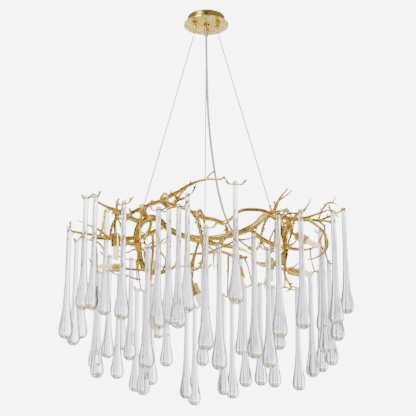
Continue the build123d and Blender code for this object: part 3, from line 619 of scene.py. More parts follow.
@dataclass
class Studio:
    """The camera at the photograph's angle, soft light on all sides, and a pale floor far below."""

    camera_place: Point = (0.005, -2.680, -1.323)
    camera_pitch: float = 16.0
    focal_pixels: float = 1050.0
    frame_pixels: float = 416.0
    sensor: float = 36.0
    floor_height: float = -2.3
    floor_size: float = 12.0
    floor_sides: int = 96
    brass_sky: Stops = ((0.48, (0.02, 0.018, 0.014)), (0.8, (0.8, 0.8, 0.8)))
    glass_sides: Stops = (
        (0.0, (1.5, 1.5, 1.54)),
        (0.1, (2.9, 2.9, 2.9)),
        (0.24, (0.5, 0.49, 0.6)),
        (0.44, (3.2, 3.2, 3.2)),
        (0.62, (0.55, 0.54, 0.65)),
        (0.8, (0.15, 0.14, 0.18)),
        (0.95, (0.3, 0.29, 0.34)),
        (1.0, (1.8, 1.8, 1.8)),
    )
    glass_rise: Stops = (
        (0.0, (0.55, 0.55, 0.58)),
        (0.42, (1.0, 1.0, 1.0)),
        (0.62, (1.0, 1.0, 1.0)),
        (0.645, (1.8, 1.8, 1.8)),
        (0.685, (0.66, 0.58, 0.44)),
        (1.0, (0.4, 0.35, 0.26)),
    )
    camera_sky: float = 7.0
    boxes: tuple[SoftBox, ...] = (
        SoftBox("key_box", (-2.0, -2.4, 0.9), WREATH_MIDDLE, 1.2, 64.0),
        SoftBox("fill_box", (2.3, -1.8, -0.2), WREATH_MIDDLE, 1.0, 42.0),
        SoftBox("top_box", (0.2, 0.6, 1.8), WREATH_MIDDLE, 1.8, 26.0),
        SoftBox("rim_box", (-1.6, 2.4, -0.2), WREATH_MIDDLE, 2.2, 34.0),
        SoftBox("low_box", (0.0, 2.8, -1.4), PLATE_MIDDLE, 1.0, 6.5, seen_in_glass=False),
    )

    def build(self) -> None:
        """Add the camera, world, lights and floor."""
        self.camera()
        self.world()
        self.lights()
        self.floor()

    def camera(self) -> None:
        """A level camera tipped up at the wreath."""
        data = bpy.data.cameras.new("photo_camera")
        data.sensor_width = self.sensor
        data.lens = self.sensor * self.focal_pixels / self.frame_pixels
        rig = bpy.data.objects.new("photo_camera", data)
        rig.location = self.camera_place
        rig.rotation_euler = (math.radians(90.0 + self.camera_pitch), 0.0, 0.0)
        bpy.context.scene.collection.objects.link(rig)
        bpy.context.scene.camera = rig

    def world(self) -> None:
        """White to the camera, light and dark panels for the glass, and dark below for the polished brass."""
        world = bpy.data.worlds.new("soft_studio")
        world.use_nodes = True
        bpy.context.scene.world = world
        nodes, links = world.node_tree.nodes, world.node_tree.links
        place = nodes.new("ShaderNodeTexCoord")
        split = nodes.new("ShaderNodeSeparateXYZ")
        links.new(place.outputs["Generated"], split.inputs["Vector"])
        side = nodes.new("ShaderNodeMath")
        side.operation = "ABSOLUTE"
        links.new(split.outputs["X"], side.inputs[0])
        rise = nodes.new("ShaderNodeMath")
        rise.operation = "MULTIPLY_ADD"
        rise.inputs[1].default_value = 0.5
        rise.inputs[2].default_value = 0.5
        links.new(split.outputs["Z"], rise.inputs[0])
        seen = nodes.new("ShaderNodeLightPath")

        def shade(source: Socket, stops: Stops) -> Socket:
            """Turn a direction's value into light.

            Args:
                source: The value.
                stops: Positions and light.

            Returns:
                The light.
            """
            ramp = nodes.new("ShaderNodeValToRGB")
            ramp.color_ramp.interpolation = "EASE"
            knots = ramp.color_ramp.elements
            for i, (position, colour) in enumerate(stops):
                knot = knots[i] if i < 2 else knots.new(position)
                knot.position = position
                knot.color = (*colour, 1.0)
            links.new(source, ramp.inputs["Fac"])
            return ramp.outputs["Color"]

        def mix(kind: str, low: Socket, high: Socket) -> bpy.types.ShaderNodeMix:
            """Mix two lights.

            Args:
                kind: The way of mixing.
                low: The light where the factor is zero.
                high: The light where the factor is one.

            Returns:
                The mixing node, with its factor at one.
            """
            node = nodes.new("ShaderNodeMix")
            node.data_type = "RGBA"
            node.blend_type = kind
            node.inputs["Factor"].default_value = 1.0
            links.new(low, node.inputs["A"])
            links.new(high, node.inputs["B"])
            return node

        panels = shade(side.outputs[0], self.glass_sides)
        bands = shade(rise.outputs[0], self.glass_rise)
        glass = mix("MULTIPLY", panels, bands)
        inside = mix("MIX", shade(rise.outputs[0], self.brass_sky), glass.outputs["Result"])
        links.new(seen.outputs["Is Transmission Ray"], inside.inputs["Factor"])
        white = nodes.new("ShaderNodeRGB")
        white.outputs[0].default_value = (self.camera_sky, self.camera_sky, self.camera_sky, 1.0)
        whole = mix("MIX", inside.outputs["Result"], white.outputs[0])
        links.new(seen.outputs["Is Camera Ray"], whole.inputs["Factor"])
        links.new(whole.outputs["Result"], nodes["Background"].inputs["Color"])

    def lights(self) -> None:
        """Soft boxes at the left, right, top and back, and a low one that the canopy's plate mirrors."""
        for box in self.boxes:
            data = bpy.data.lights.new(box.name, "AREA")
            data.shape = "SQUARE"
            data.size = box.size
            data.energy = box.power
            lamp = bpy.data.objects.new(box.name, data)
            lamp.location = box.place
            lamp.visible_camera = False
            lamp.visible_transmission = box.seen_in_glass
            way = Vector(box.target) - Vector(box.place)
            lamp.rotation_mode = "QUATERNION"
            lamp.rotation_quaternion = way.to_track_quat("-Z", "Y")
            bpy.context.scene.collection.objects.link(lamp)

    def floor(self) -> None:
        """A pale round floor with a soft matt surface."""
        Bench.pick()
        bpy.ops.mesh.primitive_circle_add(
            vertices=self.floor_sides,
            radius=0.5 * self.floor_size,
            fill_type="NGON",
            location=(0, 0, self.floor_height),
        )
        floor = bpy.context.object
        floor.name = "studio_floor"
        Bench.settle(floor)
        finish = MouldedFinish(
            "pale_floor",
            deep=(0.76, 0.73, 0.67, 1),
            bright=(0.82, 0.79, 0.73, 1),
            gloss=(0.6, 0.75),
            pit_scale=40.0,
        )
        Bench.paint(floor, finish.make())


class Route:
    """A smooth line through a cord's or wire's points, and tubes that follow it."""

    tube_weld: float = 1e-7
    tube_crease: float = 60.0

    def __init__(self, name: str, points: Sequence[Point], fineness: int, spacing: float) -> None:
        """Lay a NURBS spline on the points and read its line.

        Args:
            name: A name for the spline.
            points: Control points in metres.
            fineness: Steps of the spline for each point.
            spacing: Points nearer together than this are left out.
        """
        data = bpy.data.curves.new(name, "CURVE")
        data.dimensions = "3D"
        data.resolution_u = fineness
        spline = data.splines.new("NURBS")
        spline.points.add(len(points) - 1)
        for spot, point in zip(spline.points, points):
            spot.co = (*point, 1.0)
        spline.order_u = 3
        spline.use_endpoint_u = True
        line = bpy.data.objects.new(name, data)
        bpy.context.scene.collection.objects.link(line)
        bpy.context.view_layer.update()
        seen = bpy.data.meshes.new_from_object(line.evaluated_get(bpy.context.evaluated_depsgraph_get()))
        read = [vertex.co.copy() for vertex in seen.vertices]
        self.line = [read[0]]
        for spot in read[1:-1]:
            if (spot - self.line[-1]).length >= spacing:
                self.line.append(spot)
        if (read[-1] - self.line[-1]).length < 0.5 * spacing:
            self.line.pop()
        self.line.append(read[-1])
        bpy.data.objects.remove(line)
        bpy.data.curves.remove(data)
        bpy.data.meshes.remove(seen)
        self.frames = self.carry()

    def carry(self) -> list[tuple[Vector, Vector, float]]:
        """Two directions across the line at each point, carried along without twist.

        Returns:
            The two directions and the length so far, for each point.
        """
        across = Vector((1.0, 0.0, 0.0))
        frames = []
        run = 0.0
        for i, spot in enumerate(self.line):
            before = self.line[max(i - 1, 0)]
            after = self.line[min(i + 1, len(self.line) - 1)]
            way = (after - before).normalized()
            across = (across - way * across.dot(way)).normalized()
            run += (spot - before).length
            frames.append((across.copy(), way.cross(across), run))
        return frames

    def length(self) -> float:
        """The length of the line in metres."""
        return sum((b - a).length for a, b in zip(self.line, self.line[1:]))

    def tube(
        self,
        name: str,
        section: Callable[[float], float],
        sides: int,
        offset: float = 0.0,
        lay: float = 1.0,
        turn: float = 0.0,
        coat: Callable[[float], float] = lambda run: 1.0,
    ) -> bpy.types.Object:
        """A closed tube along the line, or a strand that winds round it.

        Args:
            name: The piece's name.
            section: Gives the radius at an angle round the section.
            sides: Points in a ring.
            offset: How far from the line the strand runs.
            lay: Length of one turn of the winding.
            turn: Where the winding starts, in radians.
            coat: Gives the share of the radius at a length along the line.

        Returns:
            The tube.
        """
        points, faces = [], []
        for spot, (across, up, run) in zip(self.line, self.frames):
            wind = turn + math.tau * run / lay
            middle = spot + (across * math.cos(wind) + up * math.sin(wind)) * offset
            for k in range(sides):
                angle = math.tau * k / sides
                spin = angle + (0.0 if offset else wind)
                reach = section(angle) * coat(run)
                points.append(middle + (across * math.cos(spin) + up * math.sin(spin)) * reach)
        rings = len(self.line)
        for ring in range(rings - 1):
            for k in range(sides):
                a, b = ring * sides + k, ring * sides + (k + 1) % sides
                faces.append((a, b, b + sides, a + sides))
        faces.append(tuple(reversed(range(sides))))
        faces.append(tuple(range((rings - 1) * sides, rings * sides)))
        mesh = bpy.data.meshes.new(name)
        mesh.from_pydata(points, [], faces)
        tube = bpy.data.objects.new(name, mesh)
        bpy.context.scene.collection.objects.link(tube)
        Bench.weld(tube, self.tube_weld)
        Bench.soften(tube, self.tube_crease)
        return tube


@dataclass
class PowerCord:
    """The clear power cord with its silver cores, from the canopy's grip to the inlet in the wreath."""

    diameter: float = 6.4 * MM
    core_radius: float = 1.05 * MM
    core_offset: float = 1.25 * MM
    core_lay: float = 0.045
    core_count: int = 3
    core_sides: int = 8
    sheath_sides: int = 20
    fineness: int = 24
    spacing: float = 2.0 * MM
    real_length: float = 0.682
    grip_height: float = -0.043
    inlet_hold: float = 6.0 * MM
    route: tuple[Point, ...] = (
        (0.0, 0.0, -0.016),
        (0.0, 0.0, -0.078),
        (0.0015, 0.001, -0.152),
        (0.003, 0.0045, -0.228),
        (0.0065, 0.009, -0.302),
        (0.013, 0.015, -0.375),
        (0.023, 0.026, -0.447),
        (0.036, 0.044, -0.513),
        (0.054, 0.070, -0.568),
        (0.078, 0.096, -0.605),
        (0.103, 0.116, -0.625),
        (0.124, 0.131, -0.634),
    )

    def build(self, palette: Palette) -> None:
        """Make the sheath and its cores, and attach them to the canopy's body.

        Args:
            palette: The finishes.
        """
        line = Route("cord_line", self.route, self.fineness, self.spacing)
        sheath = line.tube("power_cord_sheath", lambda angle: 0.5 * self.diameter, self.sheath_sides)
        Bench.paint(sheath, palette.sheath)
        cores = [
            line.tube(
                f"core_{k}",
                lambda angle: self.core_radius,
                self.core_sides,
                offset=self.core_offset,
                lay=self.core_lay,
                turn=math.tau * k / self.core_count,
            )
            for k in range(self.core_count)
        ]
        strands = Bench.join("power_cord_cores", cores)
        Bench.paint(strands, palette.core)
        hold = line.length() - self.inlet_hold
        for piece in (sheath, strands):
            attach(piece, Body.CANOPY.value)
            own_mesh(piece)
        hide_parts("power_cord")
        LOG.info("power cord: %.3f m", line.length())


@dataclass
class SuspensionCables:
    """Three coated steel cables from the canopy's grippers to the anchors' mouths, bare at both ends."""

    radius: float = 0.95 * MM
    groove: float = 0.1 * MM
    coat: float = 1.6
    bare_top: float = 0.052
    bare_end: float = 0.0065
    strands: int = 6
    strand_points: int = 4
    lay: float = 0.016
    bend_share: float = 12.0
    bend_lead: float = 0.6
    fineness: int = 600
    spacing: float = 1.0 * MM
    gripper_radius: float = 36.5 * MM
    gripper_angles: Point = (210.0, 330.0, 90.0)
    top: float = -0.016
    plunger_end: float = -0.047
    mouth_height: float = -0.053
    seat_gap: float = 12.9 * MM
    seats: tuple[Point, ...] = (
        (-0.163, -0.084, -0.584),
        (0.168, -0.068, -0.578),
        (-0.004, 0.180, -0.580),
    )
    sides: tuple[str, ...] = ("left", "right", "back")

    def mouth(self, index: int) -> Vector:
        """Where a cable leaves its gripper and turns to its anchor.

        Args:
            index: Which of the three cables.

        Returns:
            The point.
        """
        turn = math.radians(self.gripper_angles[index])
        x, y = self.gripper_radius * math.cos(turn), self.gripper_radius * math.sin(turn)
        return Vector((x, y, self.mouth_height))

    def build(self, palette: Palette) -> None:
        """Make each cable and attach it to the canopy's body.

        Args:
            palette: The finishes.
        """
        for index, (side, seat) in enumerate(zip(self.sides, self.seats)):
            mouth = self.mouth(index)
            x, y = mouth.xy
            way = (Vector(seat) - mouth).normalized()
            end = Vector(seat) - way * self.seat_gap
            bend = self.bend_share * self.radius
            points = [
                (x, y, self.top),
                (x, y, self.mouth_height + self.bend_lead * bend),
                tuple(mouth),
                tuple(mouth + way * bend),
                tuple(end),
            ]
            line = Route(f"cable_line_{side}", points, self.fineness, self.spacing)
            coated = (self.bare_top, line.length() - self.bare_end)
            cable = line.tube(
                f"suspension_cable_{side}",
                lambda spin: self.radius - self.groove * (1.0 + math.cos(self.strands * spin)),
                self.strand_points * self.strands,
                lay=self.lay,
                coat=lambda run: self.coat if coated[0] < run < coated[1] else 1.0,
            )
            Bench.paint(cable, palette.steel)
            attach(cable, Body.CANOPY.value)
            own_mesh(cable)
            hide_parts("suspension_cables")
            LOG.info("suspension cable %s: %.3f m", side, line.length())


@dataclass
class Canopy:
    """The ceiling canopy: a hammered plate under a plain pan, with grippers and a cord grip."""

    plate_radius: float = 63.5 * MM
    plate_bottom: float = -0.024
    plate_thick: float = 2.5 * MM
    edge_round: float = 0.8 * MM
    dent_depth: float = 2.0 * MM
    dent_size: float = 6.0 * MM
    plain_rim: float = 1.5
    top_margin: float = 0.1 * MM
    spokes: int = 192
    rings: int = 52
    plate_crease: float = 50.0
    head_radius: float = 4.0 * MM
    head_length: float = 4.0 * MM
    screw_height: float = -0.010
    pan_radius: float = 52.0 * MM
    shank_radius: float = 2.0 * MM
    shank_length: float = 6.7 * MM
    rim_low: float = 0.3
    rim_high: float = 0.85
    crown_share: float = 0.86
    teeth: int = 30
    band_height: float = 0.575
    band_reach: float = 0.2
    tooth_inset: float = 0.08 * MM
    tooth_share: float = 0.93
    tooth_from: float = 0.9
    slot_width: float = 0.9 * MM
    slot_depth: float = 1.8 * MM
    screw_crease: float = 35.0

    def build(self, nodes: dict[str, bpy.types.Object], palette: Palette) -> None:
        """Make the plate and screws, and finish the CAD pieces that stay.

        Args:
            nodes: The CAD nodes by name.
            palette: The finishes.
        """
        self.plate(palette)
        self.screws(palette)
        kept = {
            "canopy_pan": palette.gold,
            "ceiling_bracket": palette.zinc,
            "terminal_block": palette.plastic,
            "gripper_barrels": palette.bright_gold,
            "gripper_plunger_left": palette.bright_gold,
            "gripper_plunger_right": palette.bright_gold,
            "gripper_plunger_back": palette.bright_gold,
            "cord_grip": palette.bright_gold,
        }
        for node, finish in kept.items():
            Bench.paint(nodes[node], finish)
            LOG.info("canopy piece kept: %s", node)

    def plate(self, palette: Palette) -> None:
        """A round plate with a rolled edge, beaten all over its lower face.

        Args:
            palette: The finishes.
        """
        edge, low, thick, soft = self.plate_radius, self.plate_bottom, self.plate_thick, self.edge_round
        Bench.pick()
        bpy.ops.mesh.primitive_circle_add(
            vertices=self.spokes, radius=edge - soft, fill_type="NGON", location=(0, 0, low)
        )
        plate = bpy.context.object
        plate.name = "hammered_plate"
        plate.data.name = "hammered_plate"
        Bench.settle(plate)
        Bench.edit(plate)
        for _ in range(self.rings):
            bpy.ops.mesh.inset(thickness=(edge - soft) / (self.rings + 1), use_even_offset=False)
        Bench.close_edit()
        Bench.edit(plate)
        bpy.ops.mesh.normals_make_consistent(inside=False)
        Bench.close_edit()
        marks = bpy.data.textures.new("hammer_marks", "VORONOI")
        marks.noise_scale = self.dent_size
        marks.distance_metric = "DISTANCE_SQUARED"
        Bench.modify(
            plate,
            "DISPLACE",
            texture=marks,
            texture_coords="LOCAL",
            direction="Z",
            mid_level=0.0,
            strength=self.dent_depth,
        )
        rim = edge - self.plain_rim * soft
        for vertex in plate.data.vertices:
            if vertex.co.xy.length > rim:
                vertex.co.z = low
        Bench.edit(plate)
        bpy.ops.mesh.extrude_region_move(TRANSFORM_OT_translate={"value": (0, 0, thick)})
        Bench.close_edit()
        for vertex in plate.data.vertices:
            if vertex.co.z > low + self.dent_depth + self.top_margin:
                vertex.co.z = low + thick
        Bench.weld(plate, FINE_WELD)
        Bench.soften(plate, self.plate_crease)
        Bench.paint(plate, palette.hammered)
        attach(plate, Body.CANOPY.value)
        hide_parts("canopy_plate")
        LOG.info("hammered plate: %d faces", len(plate.data.polygons))

    def screws(self, palette: Palette) -> None:
        """Two dark thumb screws with a knurled rim and a slot, at the front and back of the pan.

        Args:
            palette: The finishes.
        """
        teeth, tall = self.teeth, self.head_length
        band = self.band_height * tall
        levels = (
            (self.shank_radius, -self.shank_length),
            (self.shank_radius, 0.0),
            (self.head_radius, 0.0),
            (self.head_radius, self.rim_low * tall),
            (self.head_radius, self.rim_high * tall),
            (self.crown_share * self.head_radius, tall),
        )
        heads = []
        for side in (-1.0, 1.0):
            screw = Turning.make(f"screw_{side:.0f}", levels, 2 * teeth)
            Bench.edit(
                screw,
                lambda face: abs(face.center.z - band) < self.band_reach * tall
                and round(math.atan2(face.center.y, face.center.x) / math.tau * 2 * teeth - 0.5) % 2 == 0
                and face.center.xy.length > self.tooth_from * self.head_radius,
            )
            bpy.ops.mesh.inset(thickness=self.tooth_inset, use_individual=True)
            bpy.ops.transform.resize(
                value=(self.tooth_share, self.tooth_share, 1.0), center_override=(0, 0, band)
            )
            Bench.close_edit()
            Bench.pick()
            bpy.ops.mesh.primitive_cube_add(size=1.0, location=(0, 0, tall))
            blade = bpy.context.object
            blade.scale = (self.slot_width, 3.0 * self.head_radius, self.slot_depth)
            Bench.settle(blade)
            Bench.modify(screw, "BOOLEAN", object=blade, operation="DIFFERENCE", solver="EXACT")
            bpy.data.objects.remove(blade)
            place = Vector((0.0, side * self.pan_radius, self.screw_height))
            Bench.aim(screw, Vector((0.0, side, 0.0)), place)
            heads.append(screw)
        both = Bench.join("side_screws", heads)
        Bench.soften(both, self.screw_crease)
        Bench.paint(both, palette.black)
        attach(both, Body.CANOPY.value)
        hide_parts("bracket_screws")
        LOG.info("side screws: %d faces", len(both.data.polygons))


@dataclass(frozen=True)
class Hanger:
    """A twig with one or two drops: where it grows from, and each hole's angle, radius and height."""

    branch: str
    stem: int
    root: int
    hooks: tuple[Point, ...]
    sway: float = 4.0
    rise: float = 6.0


@dataclass(frozen=True)
class LampPlace:
    """A lamp: the stem point that it grows from, its cup's middle, and the way that its mouth points."""

    branch: str
    stem: int
    root: int
    middle: Point
    axis: Point

    def back(self, cup_length: float) -> tuple[Vector, Vector]:
        """The middle of the cup's back and the lamp's axis.

        Args:
            cup_length: The length of the cup, in millimetres as the table is.

        Returns:
            The point and the direction.
        """
        axis = Vector(self.axis).normalized()
        return Vector(self.middle) - axis * 0.5 * cup_length, axis


# Stems of each branch in millimetres: place and section radius of each point
STEMS: dict[str, tuple[Limb, ...]] = {
    "main_branch_right": (
        (
            (199, -70, -722, 4.2), (203, -77, -690, 6.4), (200, -82, -648, 8.0), (196, -82, -629, 8.4),
            (190, -79, -613, 8.8), (181, -74, -600, 9.0), (172, -64, -591, 9.2), (164, -48, -585, 8.9),
            (158, -28, -581, 8.6), (150, 20, -577, 9.0), (139, 68, -578, 8.2), (118, 112, -582, 8.4),
            (86, 146, -586, 7.4), (44, 171, -589, 7.4), (-5, 179, -590, 6.4), (-52, 172, -585, 5.2),
            (-88, 156, -577, 3.6), (-106, 150, -566, 2.4),
        ),
        (
            (173, -66, -590, 4.6), (178, -92, -577, 3.6), (190, -120, -560, 2.8), (207, -146, -545, 1.7),
        ),
        (
            (184, -108, -568, 2.4), (202, -116, -556, 2.2), (219, -132, -546, 1.5),
        ),
        (
            (199, -72, -716, 4.0), (190, -96, -730, 3.2), (170, -112, -738, 2.6), (160, -132, -752, 1.7),
        ),
        (
            (203, -77, -690, 6.2), (196, -64, -702, 6.2), (184, -40, -710, 6.0), (167, -4, -708, 5.6),
            (151, 44, -698, 5.0), (138, 82, -685, 4.0), (123, 110, -667, 2.2),
        ),
        (
            (164, -48, -585, 4.2), (150, -70, -617, 2.8), (143, -78, -638, 2.5), (143, -80, -662, 2.4),
            (152, -74, -685, 2.4), (160, -66, -694, 2.8), (171, -58, -681, 2.4), (163, -52, -662, 2.3),
            (171, -48, -639, 2.2), (178, -46, -624, 1.6),
        ),
        (
            (172, -64, -591, 4.4), (185, -84, -588, 3.0), (201, -94, -588, 2.7), (214, -100, -601, 2.5),
            (221, -104, -624, 2.4), (217, -102, -649, 2.3), (209, -96, -674, 2.2), (204, -90, -689, 1.6),
        ),
    ),
    "main_branch_left": (
        (
            (-165, -18, -724, 4.2), (-171, -28, -690, 6.4), (-180, -45, -648, 8.0),
            (-178, -52, -630, 8.4), (-172, -58, -615, 8.8), (-163, -61, -606, 9.0),
            (-152, -60, -601, 9.2), (-142, -52, -597, 8.9), (-133, -38, -595, 8.6),
            (-127, -16, -592, 8.8), (-122, 10, -590, 9.0), (-112, 60, -588, 8.2), (-94, 106, -589, 8.4),
            (-62, 146, -593, 7.4), (-20, 173, -600, 7.4), (30, 187, -607, 6.4), (74, 186, -616, 5.4),
            (106, 172, -628, 3.8), (128, 160, -645, 2.2),
        ),
        (
            (-152, -62, -600, 5.0), (-162, -82, -592, 4.6), (-170, -100, -592, 4.0),
            (-186, -112, -598, 2.2),
        ),
        (
            (-168, -22, -712, 3.8), (-150, -2, -730, 3.0), (-146, 26, -742, 2.4), (-158, 46, -750, 1.6),
        ),
        (
            (-171, -28, -690, 6.2), (-165, -20, -713, 6.4), (-154, -6, -725, 6.2), (-139, 14, -727, 5.8),
            (-116, 40, -719, 5.2), (-94, 66, -705, 4.2), (-81, 86, -686, 3.2), (-79, 98, -666, 2.0),
        ),
        (
            (-142, -52, -597, 4.6), (-145, -64, -628, 3.2), (-152, -72, -641, 2.8),
            (-156, -76, -656, 2.6), (-155, -72, -672, 2.4), (-140, -62, -678, 2.4),
            (-136, -50, -699, 2.2), (-138, -40, -717, 1.6),
        ),
    ),
    "front_branch": (
        (
            (-152, -62, -599, 5.0), (-158, -94, -588, 4.2), (-143, -126, -581, 3.6),
            (-114, -154, -583, 3.8), (-76, -184, -600, 3.4), (-36, -200, -621, 3.6),
            (-5, -206, -638, 4.6), (20, -205, -643, 3.6), (42, -200, -649, 4.4), (61, -191, -637, 3.4),
            (80, -180, -617, 3.4), (122, -142, -600, 3.6), (156, -98, -593, 4.2), (172, -64, -591, 4.8),
        ),
        (
            (42, -200, -649, 3.4), (52, -206, -666, 3.0), (47, -215, -692, 2.8), (30, -229, -716, 3.0),
            (18, -238, -746, 2.4), (20, -244, -772, 1.6),
        ),
        (
            (-36, -200, -621, 3.8), (-20, -200, -643, 3.6), (-14, -192, -665, 3.5),
            (-10, -180, -690, 3.4), (-6, -164, -716, 3.2), (-9, -148, -736, 2.8), (-19, -134, -749, 2.5),
            (-33, -124, -751, 2.2), (-45, -116, -744, 1.5),
        ),
    ),
    "branch_front_left": (
        (
            (-168, -56, -611, 6.2), (-200, -82, -602, 5.2), (-228, -118, -596, 4.6),
            (-251, -148, -593, 3.6), (-270, -170, -588, 2.8),
        ),
        (
            (-200, -82, -602, 4.4), (-188, -132, -606, 4.2), (-154, -186, -606, 4.0),
            (-112, -226, -602, 4.0), (-72, -262, -592, 3.6), (-38, -292, -581, 3.2),
            (0, -313, -574, 3.0), (36, -328, -578, 2.6),
        ),
        (
            (-112, -226, -602, 2.6), (-86, -238, -588, 2.2), (-62, -252, -582, 2.0),
            (-46, -260, -570, 1.4),
        ),
        (
            (0, -313, -574, 2.4), (10, -318, -563, 2.0), (22, -318, -553, 1.4),
        ),
    ),
    "branch_left": (
        (
            (-180, -45, -648, 6.0), (-216, -42, -650, 5.0), (-252, -24, -644, 4.6), (-284, 6, -636, 3.8),
            (-306, 42, -628, 3.4), (-318, 78, -622, 2.8),
        ),
        (
            (-252, -24, -644, 3.0), (-282, -38, -624, 2.6), (-310, -46, -612, 2.2),
            (-334, -40, -600, 1.4),
        ),
    ),
    "branch_back_left": (
        (
            (-112, 60, -588, 6.2), (-146, 92, -597, 5.2), (-180, 126, -604, 4.8), (-198, 164, -609, 4.0),
            (-198, 202, -612, 3.6), (-188, 236, -610, 2.8),
        ),
        (
            (-198, 164, -609, 3.0), (-222, 176, -602, 2.6), (-246, 196, -590, 2.2),
            (-262, 202, -574, 1.4),
        ),
    ),
    "branch_back": (
        (
            (44, 171, -589, 5.8), (40, 206, -604, 5.2), (34, 236, -612, 4.8), (2, 250, -616, 4.0),
            (-30, 256, -618, 3.6), (-62, 254, -620, 2.8),
        ),
        (
            (34, 236, -612, 4.2), (62, 248, -619, 3.8), (88, 266, -623, 3.4), (98, 284, -622, 2.8),
        ),
    ),
    "branch_back_right": (
        (
            (118, 112, -582, 6.2), (150, 138, -601, 5.4), (185, 164, -613, 5.0), (222, 180, -618, 4.2),
            (257, 183, -622, 3.8), (286, 176, -624, 3.2), (306, 158, -620, 2.6),
        ),
        (
            (222, 180, -618, 3.0), (236, 204, -606, 2.6), (254, 222, -590, 2.2), (262, 238, -572, 1.4),
        ),
    ),
    "branch_right": (
        (
            (158, -28, -581, 6.2), (196, -32, -589, 5.2), (232, -28, -593, 4.8), (266, -18, -591, 4.0),
            (295, 2, -589, 3.6), (311, 30, -591, 2.8),
        ),
        (
            (232, -28, -593, 4.0), (258, -62, -598, 3.4), (280, -98, -600, 3.0), (296, -128, -602, 2.6),
        ),
        (
            (266, -18, -591, 3.4), (294, -42, -618, 3.2), (312, -44, -646, 3.2), (312, -36, -674, 3.0),
            (290, -30, -694, 2.6), (262, -36, -704, 1.8),
        ),
    ),
    "branch_front_right": (
        (
            (200, -82, -648, 6.0), (207, -120, -641, 5.0), (206, -158, -637, 4.6),
            (198, -196, -637, 3.8), (186, -230, -640, 3.4), (170, -256, -640, 2.6),
        ),
        (
            (206, -158, -637, 3.2), (226, -180, -622, 2.6), (246, -206, -612, 2.0),
            (256, -226, -596, 1.4),
        ),
    ),
}

# Small sprigs that only the eye needs, in the same form
SPRIGS: dict[str, tuple[Limb, ...]] = {
    "branch_left": (
        (
            (-252, -24, -644, 3.4), (-243, -34, -609, 3.0), (-231, -40, -592, 2.8),
            (-220, -44, -568, 2.4), (-209, -48, -544, 1.6),
        ),
        (
            (-231, -40, -592, 2.6), (-214, -46, -598, 2.3), (-190, -52, -599, 2.2),
            (-160, -60, -598, 2.2),
        ),
        (
            (-231, -40, -593, 2.2), (-223, -36, -611, 1.9), (-220, -34, -635, 1.9),
            (-225, -30, -651, 2.0),
        ),
        (
            (-216, -42, -650, 3.6), (-193, -56, -669, 2.8), (-178, -64, -670, 2.6),
            (-166, -70, -668, 2.5), (-155, -73, -669, 2.2),
        ),
    ),
    "front_branch": (
        (
            (-114, -154, -583, 3.6), (-92, -168, -598, 3.2), (-76, -176, -584, 3.0),
            (-60, -182, -568, 2.4), (-47, -186, -556, 1.6),
        ),
        (
            (-76, -176, -584, 2.4), (-58, -172, -577, 2.0), (-42, -168, -577, 1.5),
        ),
    ),
    "main_branch_left": (
        (
            (-171, -28, -690, 3.8), (-178, -42, -713, 2.4), (-178, -46, -736, 2.1),
            (-176, -48, -762, 1.8),
        ),
        (
            (-202, -36, -744, 1.6), (-190, -42, -752, 2.0), (-176, -47, -758, 2.2),
            (-165, -52, -758, 1.5),
        ),
        (
            (-116, 40, -719, 3.6), (-107, 34, -688, 2.4), (-120, 28, -668, 2.2), (-122, 22, -650, 2.2),
            (-112, 20, -635, 2.0), (-101, 24, -631, 1.4),
        ),
    ),
    "main_branch_right": (
        (
            (199, -70, -716, 3.6), (204, -82, -740, 2.8), (214, -90, -749, 2.5), (231, -100, -760, 1.7),
        ),
        (
            (208, -84, -743, 2.3), (222, -96, -736, 2.0), (233, -104, -728, 1.5),
        ),
        (
            (199, -72, -716, 3.2), (201, -78, -759, 2.4), (210, -86, -777, 2.2), (213, -92, -789, 2.0),
            (207, -96, -797, 1.8), (199, -98, -800, 1.3),
        ),
        (
            (213, -91, -786, 1.9), (222, -96, -788, 1.7), (231, -100, -792, 1.3),
        ),
        (
            (118, 112, -582, 3.4), (137, 100, -573, 2.4), (136, 94, -591, 2.1), (130, 90, -609, 1.4),
        ),
        (
            (167, -4, -708, 3.2), (162, -6, -730, 2.4), (154, -10, -754, 2.0), (151, -12, -777, 1.3),
        ),
    ),
    "branch_right": (
        (
            (295, 2, -589, 3.2), (303, 2, -572, 2.4), (308, 3, -559, 2.2), (317, 8, -547, 2.1),
            (326, 14, -537, 2.2), (340, 22, -534, 2.1), (354, 30, -538, 1.3),
        ),
        (
            (339, 21, -534, 1.9), (343, 22, -525, 1.8), (348, 22, -516, 1.2),
        ),
    ),
}

